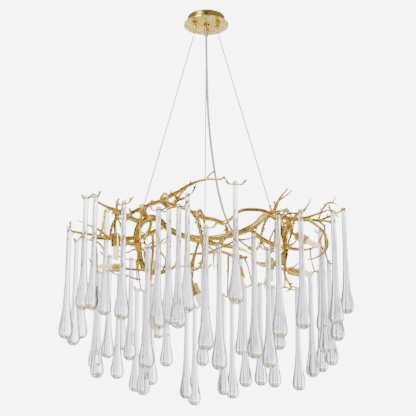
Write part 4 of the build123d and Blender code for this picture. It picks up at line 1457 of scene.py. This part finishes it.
# Twigs that carry drops: branch, stem and root point, and the holes in degrees and millimetres
HANGERS: tuple[Hanger, ...] = (
    Hanger("branch_front_left", 0, 4, ((208, 340, -576), (217, 340, -585)), rise=2),
    Hanger("branch_front_left", 0, 2, ((232, 320, -617),), rise=10),
    Hanger("branch_front_left", 1, 3, ((251, 340, -651), (260, 358, -653))),
    Hanger("branch_front_left", 1, 4, ((250, 260, -627), (261, 280, -604)), rise=0),
    Hanger("branch_front_left", 1, 7, ((281, 358, -598),), rise=4),
    Hanger("branch_front_left", 1, 2, ((245, 320, -735),)),
    Hanger("front_branch", 0, 6, ((270, 360, -705),)),
    Hanger("front_branch", 1, 2, ((275.5, 320, -742), (289, 340, -717))),
    Hanger("branch_left", 0, 2, ((194, 360, -635),)),
    Hanger("branch_left", 0, 3, ((172, 270, -554),), rise=24),
    Hanger("branch_left", 0, 5, ((168, 358, -627), (158, 366, -600)), rise=0),
    Hanger("branch_left", 0, 4, ((163, 300, -711),)),
    Hanger("branch_left", 0, 5, ((153.5, 335, -680), (148, 282, -706))),
    Hanger("branch_back_left", 0, 3, ((147, 320, -647), (138, 282, -651))),
    Hanger("branch_back_left", 0, 4, ((130.5, 300, -732), (135, 240, -747))),
    Hanger("branch_back_left", 0, 5, ((134.3, 340, -615),)),
    Hanger("branch_back_left", 0, 5, ((120.5, 302, -710),)),
    Hanger("branch_back_left", 0, 5, ((114, 340, -572),), rise=20),
    Hanger("branch_back", 0, 5, ((115, 262, -662), (92, 280, -655))),
    Hanger("branch_back", 0, 4, ((101.5, 282, -746), (96, 322, -760))),
    Hanger("branch_back", 1, 1, ((80, 280, -736), (77.3, 340, -740))),
    Hanger("branch_back", 1, 3, ((71.8, 320, -621),)),
    Hanger("branch_back", 1, 2, ((67, 280, -716), (55, 262, -717))),
    Hanger("branch_back_right", 0, 3, ((53.7, 322, -717), (42.5, 347, -728))),
    Hanger("branch_back_right", 0, 2, ((47.5, 300, -618),)),
    Hanger("branch_back_right", 0, 5, ((26.8, 320, -702), (33.4, 380, -681))),
    Hanger("branch_back_right", 0, 6, ((27.7, 360, -576),), rise=16),
    Hanger("branch_right", 0, 5, ((21, 360, -673), (13, 322, -648))),
    Hanger("branch_right", 0, 4, ((2.5, 340, -625),), sway=7, rise=2),
    Hanger("branch_right", 0, 4, ((6, 372, -550),), rise=14),
    Hanger("branch_right", 1, 3, ((333, 355, -613),)),
    Hanger("branch_front_right", 0, 4, ((298, 358, -670), (311, 345, -640))),
    Hanger("branch_front_right", 0, 5, ((302, 280, -727),)),
)

# Lamps: branch, stem and root point, and the cup's middle in millimetres and its axis
LAMPS: tuple[LampPlace, ...] = (
    LampPlace("branch_front_left", 0, 2, (-229, -104, -668), (0.05, 0.1, -1.0)),
    LampPlace("main_branch_left", 2, 1, (-232, 60, -704), (-1.0, 0.05, 0.12)),
    LampPlace("main_branch_left", 0, 14, (-31, 200, -733), (0.35, 0.05, -0.93)),
    LampPlace("branch_right", 0, 2, (246, -54, -650), (0.85, -0.15, -0.5)),
    LampPlace("branch_back_right", 0, 2, (174, 128, -677), (0.05, -0.15, -1.0)),
    LampPlace("branch_back_right", 0, 3, (238, 112, -702), (0.97, -0.05, -0.2)),
    LampPlace("branch_back_left", 0, 1, (-150, 128, -684), (-0.1, 0.1, -1.0)),
    LampPlace("branch_back", 1, 1, (94, 214, -682), (0.2, -0.2, -0.95)),
)


@dataclass
class BranchPlan:
    """The lines that the brass grows along, in millimetres."""

    peg_half: float = 10.0
    peg_radius: float = 1.6
    peg_sink: float = 3.0
    tip_length: float = 18.0
    tip_rise: float = 14.0
    twig_radius: float = 2.3
    link_bow: float = 5.0
    shoulder: float = 5.0
    cup_length: float = 34.0
    neck_length: float = 4.0
    neck_radius: float = 3.8
    anchor_radius: float = 3.3
    anchor_foot: tuple[float, float] = (1.1, 1.05)
    swell: tuple[float, ...] = (1.0, 0.92, 1.04, 0.93, 1.02, 1.0)
    pair_arrival: tuple[float, float] = (16.0, 18.0)
    single_arrival: tuple[float, float] = (-14.0, 4.0)
    leave_share: float = 0.6
    fall_share: float = 0.55
    root_share: float = 0.8
    twig_taper: tuple[float, float] = (0.9, -0.2)
    link_swell: tuple[float, float] = (-0.1, 0.4)
    tip_share: float = 0.94
    tip_swell: tuple[float, float] = (1.25, 1.5)
    tip_start: float = 0.2
    tip_knee: tuple[float, float] = (0.6, 0.4)
    bud: Point = (4.0, 2.0, 7.0)
    bud_swell: tuple[float, float] = (1.2, 0.8)
    stem_points: int = 5
    stem_lead: float = 0.35
    stem_lift: float = 0.05
    stem_radius: float = 4.0
    inlet_root: tuple[str, int, int] = ("branch_back_right", 0, 1)
    inlet_seat: float = 6.3
    inlet_leave: Point = (8.0, 10.0, -14.0)
    inlet_arrival: tuple[float, float] = (14.0, 12.0)
    inlet_radius: float = 4.2
    inlet_taper: float = 0.1
    inlet_end_radius: float = 3.7
    anchors: tuple[tuple[str, int, int, int], ...] = (
        ("main_branch_left", 1, 1, 0),
        ("main_branch_right", 0, 6, 1),
        ("main_branch_right", 0, 14, 2),
    )

    @staticmethod
    def bezier(points: Sequence[Vector], count: int) -> list[Vector]:
        """Evenly stepped points on a Bezier curve.

        Args:
            points: Its control points.
            count: How many points are wanted.

        Returns:
            The points.
        """
        degree = len(points) - 1
        made = []
        for step in range(count):
            t = step / (count - 1)
            spot = Vector()
            for i, point in enumerate(points):
                spot += point * (math.comb(degree, i) * t**i * (1 - t) ** (degree - i))
            made.append(spot)
        return made

    @staticmethod
    def stem(branch: str, index: int) -> list[Section]:
        """The places and radii of a stem's points.

        Args:
            branch: The branch's name.
            index: Which of its stems.

        Returns:
            The points.
        """
        return [(Vector(point[:3]), point[3]) for point in STEMS[branch][index]]

    @staticmethod
    def hooks(hanger: Hanger) -> list[Vector]:
        """The middles of a hanger's holes."""
        turns = [(math.radians(angle), radius, height) for angle, radius, height in hanger.hooks]
        return [Vector((radius * math.cos(a), radius * math.sin(a), height)) for a, radius, height in turns]

    def peg_axis(self, hanger: Hanger) -> Vector:
        """The direction of a hanger's pegs: along a pair, or along the ring and away from the root.

        Args:
            hanger: The hanger.

        Returns:
            The direction.
        """
        hooks = self.hooks(hanger)
        if len(hooks) == 2:
            return (hooks[1] - hooks[0]).normalized()
        turn = math.radians(hanger.hooks[0][0])
        axis = Vector((-math.sin(turn), math.cos(turn), 0.0))
        root = self.stem(hanger.branch, hanger.stem)[hanger.root][0]
        return -axis if (root - hooks[0]).dot(axis) > 0 else axis

    def twig(self, hanger: Hanger) -> list[Section]:
        """The twig from its stem to the first peg, or to the middle of a pair's link.

        Args:
            hanger: The hanger.

        Returns:
            The twig's points.
        """
        root, root_radius = self.stem(hanger.branch, hanger.stem)[hanger.root]
        hooks, axis = self.hooks(hanger), self.peg_axis(hanger)
        if len(hooks) == 2:
            end = (hooks[0] + hooks[1]) * 0.5 + UP * self.link_bow
            inward = Vector((root.x - end.x, root.y - end.y, 0.0)).normalized()
            aside, above = self.pair_arrival
            arrive, last = inward * aside + UP * above, []
        else:
            end = hooks[0] - axis * self.peg_half
            aside, above = self.single_arrival
            arrive, last = axis * aside + UP * above, [(end, self.twig_radius)]
        fall = max(root.z - end.z, 0.0)
        across = Vector((end.x - root.x, end.y - root.y, 0.0))
        sway = across.cross(UP).normalized() * hanger.sway
        leave = root + across * self.leave_share + UP * hanger.rise + sway
        if last:
            end = end - axis * self.shoulder
        over = end + arrive + UP * (self.fall_share * fall)
        points = self.bezier([root, leave, over, end], len(self.swell))
        thick = min(self.root_share * root_radius, self.twig_radius + self.twig_taper[0])
        thin = self.twig_radius + self.twig_taper[1]
        count = len(points) - 1
        radii = [(thick + (thin - thick) * i / count) * swell for i, swell in enumerate(self.swell)]
        return list(zip(points, radii)) + last

    def pegs(self, hanger: Hanger) -> list[list[Section]]:
        """The straight pegs that go through the drops' holes.

        Args:
            hanger: The hanger.

        Returns:
            A line of two points for each peg.
        """
        hooks, axis = self.hooks(hanger), self.peg_axis(hanger)
        reach = axis * self.peg_half
        sink = axis * self.peg_sink
        before, after = ([-reach - sink, reach], [-reach, reach + sink])
        ends = [before] if len(hooks) == 1 else [after, before]
        radius = self.peg_radius
        return [[(hook + a, radius), (hook + b, radius)] for hook, (a, b) in zip(hooks, ends)]

    def tips(self, hanger: Hanger) -> list[list[Section]]:
        """The upturned ends past the drops, and the link of a pair.

        Args:
            hanger: The hanger.

        Returns:
            The lines.
        """
        hooks, axis = self.hooks(hanger), self.peg_axis(hanger)
        reach = axis * self.peg_half
        outer = [(hooks[-1] + reach, axis)]
        lines = []
        if len(hooks) == 2:
            outer.append((hooks[0] - reach, -axis))
            start, end = hooks[0] + reach, hooks[1] - reach
            middle = (start + end) * 0.5 + UP * self.link_bow
            radius = self.twig_radius
            waist, belly = (radius + more for more in self.link_swell)
            step = axis * self.shoulder
            lines.append(
                [
                    (start, radius),
                    (start + step, waist),
                    (middle, belly),
                    (end - step, waist),
                    (end, radius),
                ]
            )
        radius = self.tip_share * self.peg_radius
        for start, way in outer:
            knee = start + way * self.tip_knee[0] * self.tip_length + UP * self.tip_knee[1] * self.tip_rise
            lines.append(
                [
                    (start - way, radius),
                    (start + way * self.tip_start * self.tip_length, self.tip_swell[0] * radius),
                    (knee, self.tip_swell[1] * radius),
                    (start + way * self.tip_length + UP * self.tip_rise, radius),
                ]
            )
            aside, along, above = self.bud
            bud = way.cross(UP).normalized() * aside + way * along + UP * above
            lines.append([(knee, self.bud_swell[0] * radius), (knee + bud, self.bud_swell[1] * radius)])
        return lines

    def lamp_stem(self, lamp: LampPlace) -> list[Section]:
        """The stem from a branch to the neck of a lamp's cup.

        Args:
            lamp: The lamp.

        Returns:
            The stem's points.
        """
        root, root_radius = self.stem(lamp.branch, lamp.stem)[lamp.root]
        back, axis = lamp.back(self.cup_length)
        neck = back - axis * self.neck_length
        reach = (neck - root).length
        foot = neck - axis * self.shoulder
        leave = root + (foot - root) * self.stem_lead + UP * self.stem_lift * reach
        count = self.stem_points
        points = self.bezier([root, leave, foot - axis * self.stem_lead * reach, foot], count)
        start = min(self.root_share * root_radius, self.stem_radius)
        line = [(spot, start + (self.neck_radius - start) * i / count) for i, spot in enumerate(points)]
        return [*line, (neck, self.neck_radius)]

    def inlet_stem(self) -> list[Section]:
        """The hooked stem that carries the cord's inlet.

        Returns:
            The stem's points.
        """
        end, before = (Vector(point) / MM for point in (PowerCord.route[-1], PowerCord.route[-2]))
        arrive = (end - before).normalized()
        seat = end + arrive * self.inlet_seat
        foot = seat + arrive * self.shoulder
        branch, stem, point = self.inlet_root
        root = self.stem(branch, stem)[point][0]
        ahead, above = self.inlet_arrival
        control = [root, root + Vector(self.inlet_leave), foot + arrive * ahead + UP * above, foot]
        points = self.bezier(control, self.stem_points)
        line = [(spot, self.inlet_radius - self.inlet_taper * i) for i, spot in enumerate(points)]
        return [*line, (seat, self.inlet_end_radius)]

    def anchor_stub(self, branch: str, stem: int, root: int, cable: int) -> list[Section]:
        """The stub under a cable's anchor.

        Args:
            branch: The branch that it grows from.
            stem: Which of the branch's stems.
            root: Which of the stem's points.
            cable: Which of the three cables.

        Returns:
            The stub's points.
        """
        cables = SuspensionCables()
        seat = Vector(cables.seats[cable]) / MM
        way = (cables.mouth(cable) / MM - seat).normalized()
        start = self.stem(branch, stem)[root][0]
        radius = self.anchor_radius
        low, high = (share * radius for share in self.anchor_foot)
        return [(start, low), (seat - way * self.shoulder, high), (seat, radius)]


@dataclass
class BranchWreath:
    """The brass wreath: ten coped branches, grown together smoothly, with the lumps of cast twigs."""

    plan: BranchPlan = field(default_factory=BranchPlan)
    tube_round: int = 4
    tube_steps: int = 6
    voxel: float = 0.9 * MM
    smoothing: int = 4
    smooth_share: float = 0.5
    regain: float = 0.24 * MM
    lump_size: float = 8.0 * MM
    lump_height: float = 0.7 * MM
    lump_depth: int = 2
    bark_size: float = 2.6 * MM
    bark_height: float = 0.4 * MM
    bark_turbulence: float = 4.0
    middle_grey: float = 0.5
    peg_guard: float = 11.0 * MM
    guard_fade: float = 9.0 * MM
    guard_grades: int = 10
    strand_count: int = 3
    strand_share: float = 0.58
    strand_offset: float = 0.62
    strand_turn: float = 0.28
    strand_from: float = 6.3
    thicken: float = 1.26
    jitter: float = 0.9
    swelling: tuple[float, float] = (-0.1, 0.16)
    spur_share: float = 0.45
    spur_reach: tuple[float, float] = (5.0, 9.0)
    spur_lean: float = 0.8
    spur_taper: tuple[float, float] = (0.8, 0.42)
    spur_least: float = 1.0
    drop_room: float = 32.0 * MM
    drop_span: float = 300.0 * MM
    seed: int = 11

    def build(self, nodes: dict[str, bpy.types.Object], hooks: np.ndarray, palette: Palette) -> None:
        """Grow each branch, and finish the small brass pieces that stay.

        Args:
            nodes: The CAD nodes by name.
            hooks: The middles of the drops' holes, one row each.
            palette: The finishes.
        """
        lumps = bpy.data.textures.new("twig_lumps", "CLOUDS")
        lumps.noise_scale = self.lump_size
        lumps.noise_depth = self.lump_depth
        bark = bpy.data.textures.new("fine_bark", "STUCCI")
        bark.noise_scale = self.bark_size
        bark.turbulence = self.bark_turbulence
        for name in STEMS:
            branch = self.grow(name, hooks)
            self.melt(branch)
            self.roughen(branch, hooks, lumps, bark)
            Bench.paint(branch, palette.brass)
            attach(branch, Body.BRANCHES.value)
            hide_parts(name)
            LOG.info("%s: %d faces", branch.name, len(branch.data.polygons))
        for name in ("cable_anchors", "cord_inlet"):
            Bench.paint(nodes[name], palette.brass)

    def lines(self, name: str, hooks: np.ndarray) -> list[list[Section]]:
        """All the smooth lines of one branch: stems, twigs, stubs, tips and spurs.

        Args:
            name: The branch.
            hooks: The middles of the drops' holes.

        Returns:
            The lines.
        """
        plan = self.plan
        chance = random.Random(f"{self.seed} {name}")
        lines, grown = [], []
        for index in range(len(STEMS[name])):
            stem = plan.stem(name, index)
            if stem[1][1] > self.strand_from:
                lines += self.strands(stem)
            else:
                grown.append(self.gnarl(stem, chance))
        for sprig in SPRIGS.get(name, ()):
            grown.append(self.gnarl([(Vector(point[:3]), point[3]) for point in sprig], chance))
        for hanger in HANGERS:
            if hanger.branch == name:
                grown.append(self.gnarl(plan.twig(hanger), chance))
                lines += plan.tips(hanger)
        lines += grown
        lines += [spur for line in grown for spur in self.spurs(line, hooks, chance)]
        lines += [plan.lamp_stem(lamp) for lamp in LAMPS if lamp.branch == name]
        lines += [plan.anchor_stub(*anchor) for anchor in plan.anchors if anchor[0] == name]
        if name == plan.inlet_root[0]:
            lines.append(plan.inlet_stem())
        return lines

    def strands(self, stem: list[Section]) -> list[list[Section]]:
        """A thick limb as strands that wind slowly round each other.

        Args:
            stem: The limb's points.

        Returns:
            The strands' points.
        """
        made: list[list[Section]] = [[] for _ in range(self.strand_count)]
        across = UP.copy()
        turn = 0.0
        for i, (spot, radius) in enumerate(stem):
            before, after = stem[max(i - 1, 0)][0], stem[min(i + 1, len(stem) - 1)][0]
            way = (after - before).normalized()
            across = (across - way * across.dot(way)).normalized()
            up = way.cross(across)
            for k, strand in enumerate(made):
                angle = turn + math.tau * k / self.strand_count
                shift = (across * math.cos(angle) + up * math.sin(angle)) * self.strand_offset * radius
                strand.append((spot + shift, self.strand_share * radius))
            turn += self.strand_turn
        return made

    def gnarl(self, line: list[Section], chance: random.Random) -> list[Section]:
        """Move and swell a twig's inner points a little, as grown wood does.

        Args:
            line: The twig's points.
            chance: The source of the small moves.

        Returns:
            The moved points.
        """
        made = []
        for i, (spot, radius) in enumerate(line):
            inner = 0 < i < len(line) - 2
            move = Vector([chance.uniform(-1, 1) for _ in range(3)]) * self.jitter
            swell = self.thicken + chance.uniform(*self.swelling)
            made.append((spot + move, radius * swell) if inner else (spot, radius))
        return made

    def spurs(self, line: list[Section], hooks: np.ndarray, chance: random.Random) -> list[list[Section]]:
        """Short stubs on a twig, wherever no drop hangs near.

        Args:
            line: The twig's points.
            hooks: The middles of the drops' holes.
            chance: The source of their places and directions.

        Returns:
            The stubs' points.
        """
        made = []
        for (before, _), (spot, radius), (after, _) in zip(line, line[1:], line[2:-1]):
            way = (after - before).normalized()
            aside = way.cross(Vector([chance.uniform(-1, 1) for _ in range(3)])).normalized()
            reach = chance.uniform(*self.spur_reach)
            end = spot + aside * (radius + reach) + way * self.spur_lean * reach
            flat = np.hypot(hooks[:, 0] - end.x * MM, hooks[:, 1] - end.y * MM)
            below = hooks[:, 2] - end.z * MM
            free = not np.any((flat < self.drop_room) & (below > -self.drop_room) & (below < self.drop_span))
            if free and chance.random() < self.spur_share:
                foot, tip = (share * radius for share in self.spur_taper)
                made.append([(spot, foot), (end, max(tip, self.spur_least))])
        return made

    def grow(self, name: str, hooks: np.ndarray) -> bpy.types.Object:
        """Draw a branch's lines as round smooth tubes.

        Args:
            name: The branch.
            hooks: The middles of the drops' holes.

        Returns:
            The tubes as one mesh.
        """
        data = bpy.data.curves.new(f"brass_{name}", "CURVE")
        data.dimensions = "3D"
        data.bevel_depth = MM
        data.bevel_resolution = self.tube_round
        data.resolution_u = self.tube_steps
        data.use_fill_caps = True
        pegs = [peg for hanger in HANGERS if hanger.branch == name for peg in self.plan.pegs(hanger)]
        for kind, lines in (("AUTO", self.lines(name, hooks)), ("VECTOR", pegs)):
            for line in lines:
                spline = data.splines.new("BEZIER")
                spline.bezier_points.add(len(line) - 1)
                for knot, (spot, radius) in zip(spline.bezier_points, line):
                    knot.co = spot * MM
                    knot.radius = radius
                    knot.handle_left_type = kind
                    knot.handle_right_type = kind
        branch = bpy.data.objects.new(f"brass_{name}", data)
        bpy.context.scene.collection.objects.link(branch)
        Bench.pick(branch)
        bpy.ops.object.convert(target="MESH")
        branch = bpy.context.object
        Bench.weld(branch, FINE_WELD)
        return branch

    def melt(self, branch: bpy.types.Object) -> None:
        """Run a branch's tubes together, with soft forks.

        Args:
            branch: The tubes.
        """
        Bench.modify(branch, "REMESH", mode="VOXEL", voxel_size=self.voxel, use_smooth_shade=True)
        Bench.modify(branch, "SMOOTH", factor=self.smooth_share, iterations=self.smoothing)

    def roughen(
        self, branch: bpy.types.Object, hooks: np.ndarray, lumps: bpy.types.Texture, bark: bpy.types.Texture
    ) -> None:
        """Give a branch the lumps and bark of a casting, but for the pegs that the drops hang on.

        Args:
            branch: The branch's mesh.
            hooks: The middles of the drops' holes.
            lumps: The coarse texture.
            bark: The fine texture.
        """
        guard = branch.vertex_groups.new(name=PEG_GUARD)
        spots = np.empty(3 * len(branch.data.vertices))
        branch.data.vertices.foreach_get("co", spots)
        spots = spots.reshape(-1, 3)
        near = np.full(len(spots), 1.0)
        for hook in hooks:
            near = np.minimum(near, np.linalg.norm(spots - hook, axis=1))
        count = self.guard_grades
        grades = np.round(count * np.clip((near - self.peg_guard) / self.guard_fade, 0.0, 1.0)).astype(int)
        for grade in range(1, count + 1):
            chosen = np.nonzero(grades == grade)[0].tolist()
            if chosen:
                guard.add(chosen, grade / count, "REPLACE")
        steps = (
            (None, self.regain, 0.0),
            (lumps, self.lump_height, self.middle_grey),
            (bark, self.bark_height, self.middle_grey),
        )
        for texture, height, level in steps:
            settings = {"strength": height, "mid_level": level, "vertex_group": PEG_GUARD}
            if texture:
                settings |= {"texture": texture, "texture_coords": "LOCAL"}
            Bench.modify(branch, "DISPLACE", **settings)
        branch.vertex_groups.clear()
        Bench.pick(branch)
        bpy.ops.object.shade_smooth()


@dataclass
class GlassDrops:
    """The glass drops: a drawn rod that swells to a heavy round end, drilled for its twig."""

    length: float = 290.0 * MM
    hole_below_top: float = 7.0 * MM
    hole_radius: float = 1.9 * MM
    bit_sides: int = 20
    bit_length: float = 30.0 * MM
    crease: float = 42.0
    ring_points: int = 20
    pair_reach: float = 20.0 * MM
    profile: tuple[tuple[float, float], ...] = (
        (0.0, 4.6),
        (0.0, 5.4),
        (0.004, 6.3),
        (0.03, 6.3),
        (0.12, 6.3),
        (0.22, 6.3),
        (0.33, 6.32),
        (0.42, 6.55),
        (0.50, 6.95),
        (0.57, 7.5),
        (0.64, 8.4),
        (0.70, 9.6),
        (0.75, 10.9),
        (0.80, 12.9),
        (0.84, 14.9),
        (0.875, 16.9),
        (0.905, 18.3),
        (0.93, 18.8),
        (0.952, 18.1),
        (0.972, 15.6),
        (0.988, 11.0),
        (0.997, 5.2),
        (1.0, 0.0),
    )

    def hooks_of(self, joint: dict, node: bpy.types.Object) -> list[Vector]:
        """The middles of the holes of a node's one or two drops.

        Args:
            joint: The hinge that the drops swing on.
            node: The CAD node of the drops.

        Returns:
            One point, or two for a pair.
        """
        first = Vector(joint["pos_m"])
        spots = np.array([vertex.co for vertex in node.data.vertices])
        far = spots[np.hypot(spots[:, 0] - first.x, spots[:, 1] - first.y) > self.pair_reach]
        if not len(far):
            return [first]
        low, high = far.min(axis=0), far.max(axis=0)
        top = high[2] - self.hole_below_top
        return [first, Vector((0.5 * (low[0] + high[0]), 0.5 * (low[1] + high[1]), top))]

    def blank(self) -> bpy.types.Object:
        """One drop with its hole's middle at the origin, not yet drilled.

        Returns:
            The drop.
        """
        levels = [(radius * MM, self.hole_below_top - share * self.length) for share, radius in self.profile]
        blank = Turning.make("drop_blank", levels, self.ring_points)
        Bench.modify(blank, "SUBSURF", levels=1, render_levels=1)
        return blank

    def build(self, frame: dict, palette: Palette) -> np.ndarray:
        """Make every drop, drilled along its peg, and let it swing with its body.

        Args:
            frame: The loaded CAD frame.
            palette: The finishes.

        Returns:
            The middles of all the holes, one row each.
        """
        blank = self.blank()
        hooks = []
        for joint in frame["joints"]:
            if joint["type"] != "hinge":
                continue
            name = joint["child"]
            drops = []
            for i, hook in enumerate(self.hooks_of(joint, frame["nodes"][name])):
                drop = Bench.copy(blank, f"{name}_{i}")
                self.drill(drop, Vector(joint["axis"]))
                drop.location = hook
                Bench.settle(drop)
                drops.append(drop)
                hooks.append(tuple(hook))
            whole = Bench.join(f"glass_{name}", drops)
            Bench.soften(whole, self.crease)
            Bench.paint(whole, palette.drop)
            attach(whole, name)
            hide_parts(name)
        bpy.data.objects.remove(blank)
        LOG.info("glass drops: %d", len(hooks))
        return np.array(hooks)

    def drill(self, drop: bpy.types.Object, axis: Vector) -> None:
        """Cut the hole for the peg.

        Args:
            drop: The drop, with the hole's middle at the origin.
            axis: The direction of the peg.
        """
        Bench.pick()
        bpy.ops.mesh.primitive_cylinder_add(
            vertices=self.bit_sides, radius=self.hole_radius, depth=self.bit_length
        )
        bit = bpy.context.object
        Bench.aim(bit, axis, Vector((0.0, 0.0, 0.0)))
        Bench.modify(drop, "BOOLEAN", object=bit, operation="DIFFERENCE", solver="EXACT")
        bpy.data.objects.remove(bit)


@dataclass
class Lamps:
    """The small lamps in the wreath: brass cups, ceramic sockets and frosted capsules with a coil inside."""

    cup_length: float = 34.0 * MM
    socket_base: float = 2.4 * MM
    socket_length: float = 26.0 * MM
    slot_depth: float = 9.0 * MM
    seat_gap: float = 0.3 * MM
    base_size: Point = (11.5 * MM, 5.5 * MM, 14.0 * MM)
    glass_radius: float = 7.5 * MM
    glass_length: float = 36.0 * MM
    glass_sides: int = 28
    dome_steps: int = 6
    foot_share: float = 0.72
    foot_sink: float = 1.0 * MM
    foot_rise: float = 1.5 * MM
    pinch_round: float = 0.9 * MM
    pinch_steps: int = 3
    coil_radius: float = 1.1 * MM
    coil_turns: int = 9
    coil_steps: int = 10
    coil_low: float = 6.0 * MM
    coil_high: float = 24.0 * MM
    leg_sink: float = 4.0 * MM
    leg_reach: float = 2.2 * MM
    leg_bow: float = 2.6 * MM
    leg_room: float = 2.0 * MM
    bow_rise: float = 1.0 * MM
    wire_radius: float = 0.22 * MM
    wire_sides: int = 6
    wire_fineness: int = 3
    wire_spacing: float = 0.2 * MM

    def build(self, nodes: dict[str, bpy.types.Object], palette: Palette) -> None:
        """Make the capsules and filaments, and finish the cups and sockets.

        Args:
            nodes: The CAD nodes by name.
            palette: The finishes.
        """
        Bench.paint(nodes["lamp_cups"], palette.bright_gold)
        Bench.paint(nodes["lamp_sockets"], palette.ceramic)
        start = self.socket_base + self.socket_length - self.slot_depth + self.seat_gap
        model = self.capsule(start)
        wire = self.filament(start + self.base_size[2])
        glasses, wires = [], []
        for i, lamp in enumerate(LAMPS):
            back, axis = lamp.back(self.cup_length / MM)
            for source, made in ((model, glasses), (wire, wires)):
                twin = Bench.copy(source, f"{source.name}_{i}")
                Bench.aim(twin, axis, back * MM)
                made.append(twin)
        for name, made, finish in (
            ("lamp_capsules", glasses, palette.capsule),
            ("lamp_filaments", wires, palette.tungsten),
        ):
            whole = Bench.join(name, made)
            Bench.soften(whole)
            Bench.paint(whole, finish)
            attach(whole, Body.BRANCHES.value)
            LOG.info("%s: %d faces", name, len(whole.data.polygons))
        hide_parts("bulbs")
        bpy.data.objects.remove(model)
        bpy.data.objects.remove(wire)

    def capsule(self, start: float) -> bpy.types.Object:
        """A capsule lamp along Z: a flat pinch that goes into the socket, and a domed tube.

        Args:
            start: Where the pinch begins.

        Returns:
            The capsule.
        """
        wide, narrow, deep = self.base_size
        radius, tall = self.glass_radius, self.glass_length
        foot = start + deep
        levels = [
            (self.foot_share * radius, foot - self.foot_sink),
            (radius, foot + self.foot_rise),
            (radius, foot + tall - radius),
        ]
        for step in range(1, self.dome_steps + 1):
            turn = 0.5 * math.pi * step / self.dome_steps
            reach = radius * math.cos(turn) if step < self.dome_steps else 0.0
            levels.append((reach, foot + tall - radius * (1 - math.sin(turn))))
        tube = Turning.make("capsule", levels, self.glass_sides)
        Bench.pick()
        bpy.ops.mesh.primitive_cube_add(size=1.0, location=(0, 0, start + 0.5 * deep))
        pinch = bpy.context.object
        pinch.scale = (wide, narrow, deep + self.foot_sink)
        Bench.settle(pinch)
        Bench.modify(pinch, "BEVEL", width=self.pinch_round, segments=self.pinch_steps, limit_method="NONE")
        Bench.modify(tube, "BOOLEAN", object=pinch, operation="UNION", solver="EXACT")
        bpy.data.objects.remove(pinch)
        return tube

    def filament(self, start: float) -> bpy.types.Object:
        """A coiled wire that stands in the capsule, on two straight legs.

        Args:
            start: Where the glass tube begins.

        Returns:
            The wire.
        """
        low, high = start + self.coil_low, start + self.coil_high
        foot, leg = start - self.leg_sink, self.leg_reach
        points: list[Point] = [(leg, 0.0, foot), (leg, 0.0, low - self.leg_room)]
        count = self.coil_turns * self.coil_steps
        for step in range(count + 1):
            angle = math.tau * step / self.coil_steps
            rise = low + (high - low) * step / count
            points.append((self.coil_radius * math.cos(angle), self.coil_radius * math.sin(angle), rise))
        points.append((-self.leg_bow, 0.0, high + self.bow_rise))
        points.append((-self.leg_bow, 0.0, low))
        points.append((-leg, 0.0, foot))
        line = Route("filament_line", points, self.wire_fineness, self.wire_spacing)
        return line.tube("filament", lambda angle: self.wire_radius, self.wire_sides)


def main() -> None:
    """Load the frame and dress the chandelier around it."""
    logging.basicConfig(level=logging.INFO, format="%(name)s: %(message)s")
    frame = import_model()
    nodes = frame["nodes"]
    Studio().build()
    palette = Palette()
    PowerCord().build(palette)
    SuspensionCables().build(palette)
    Canopy().build(nodes, palette)
    hooks = GlassDrops().build(frame, palette)
    BranchWreath().build(nodes, hooks, palette)
    Lamps().build(nodes, palette)


if __name__ == "__main__":
    main()
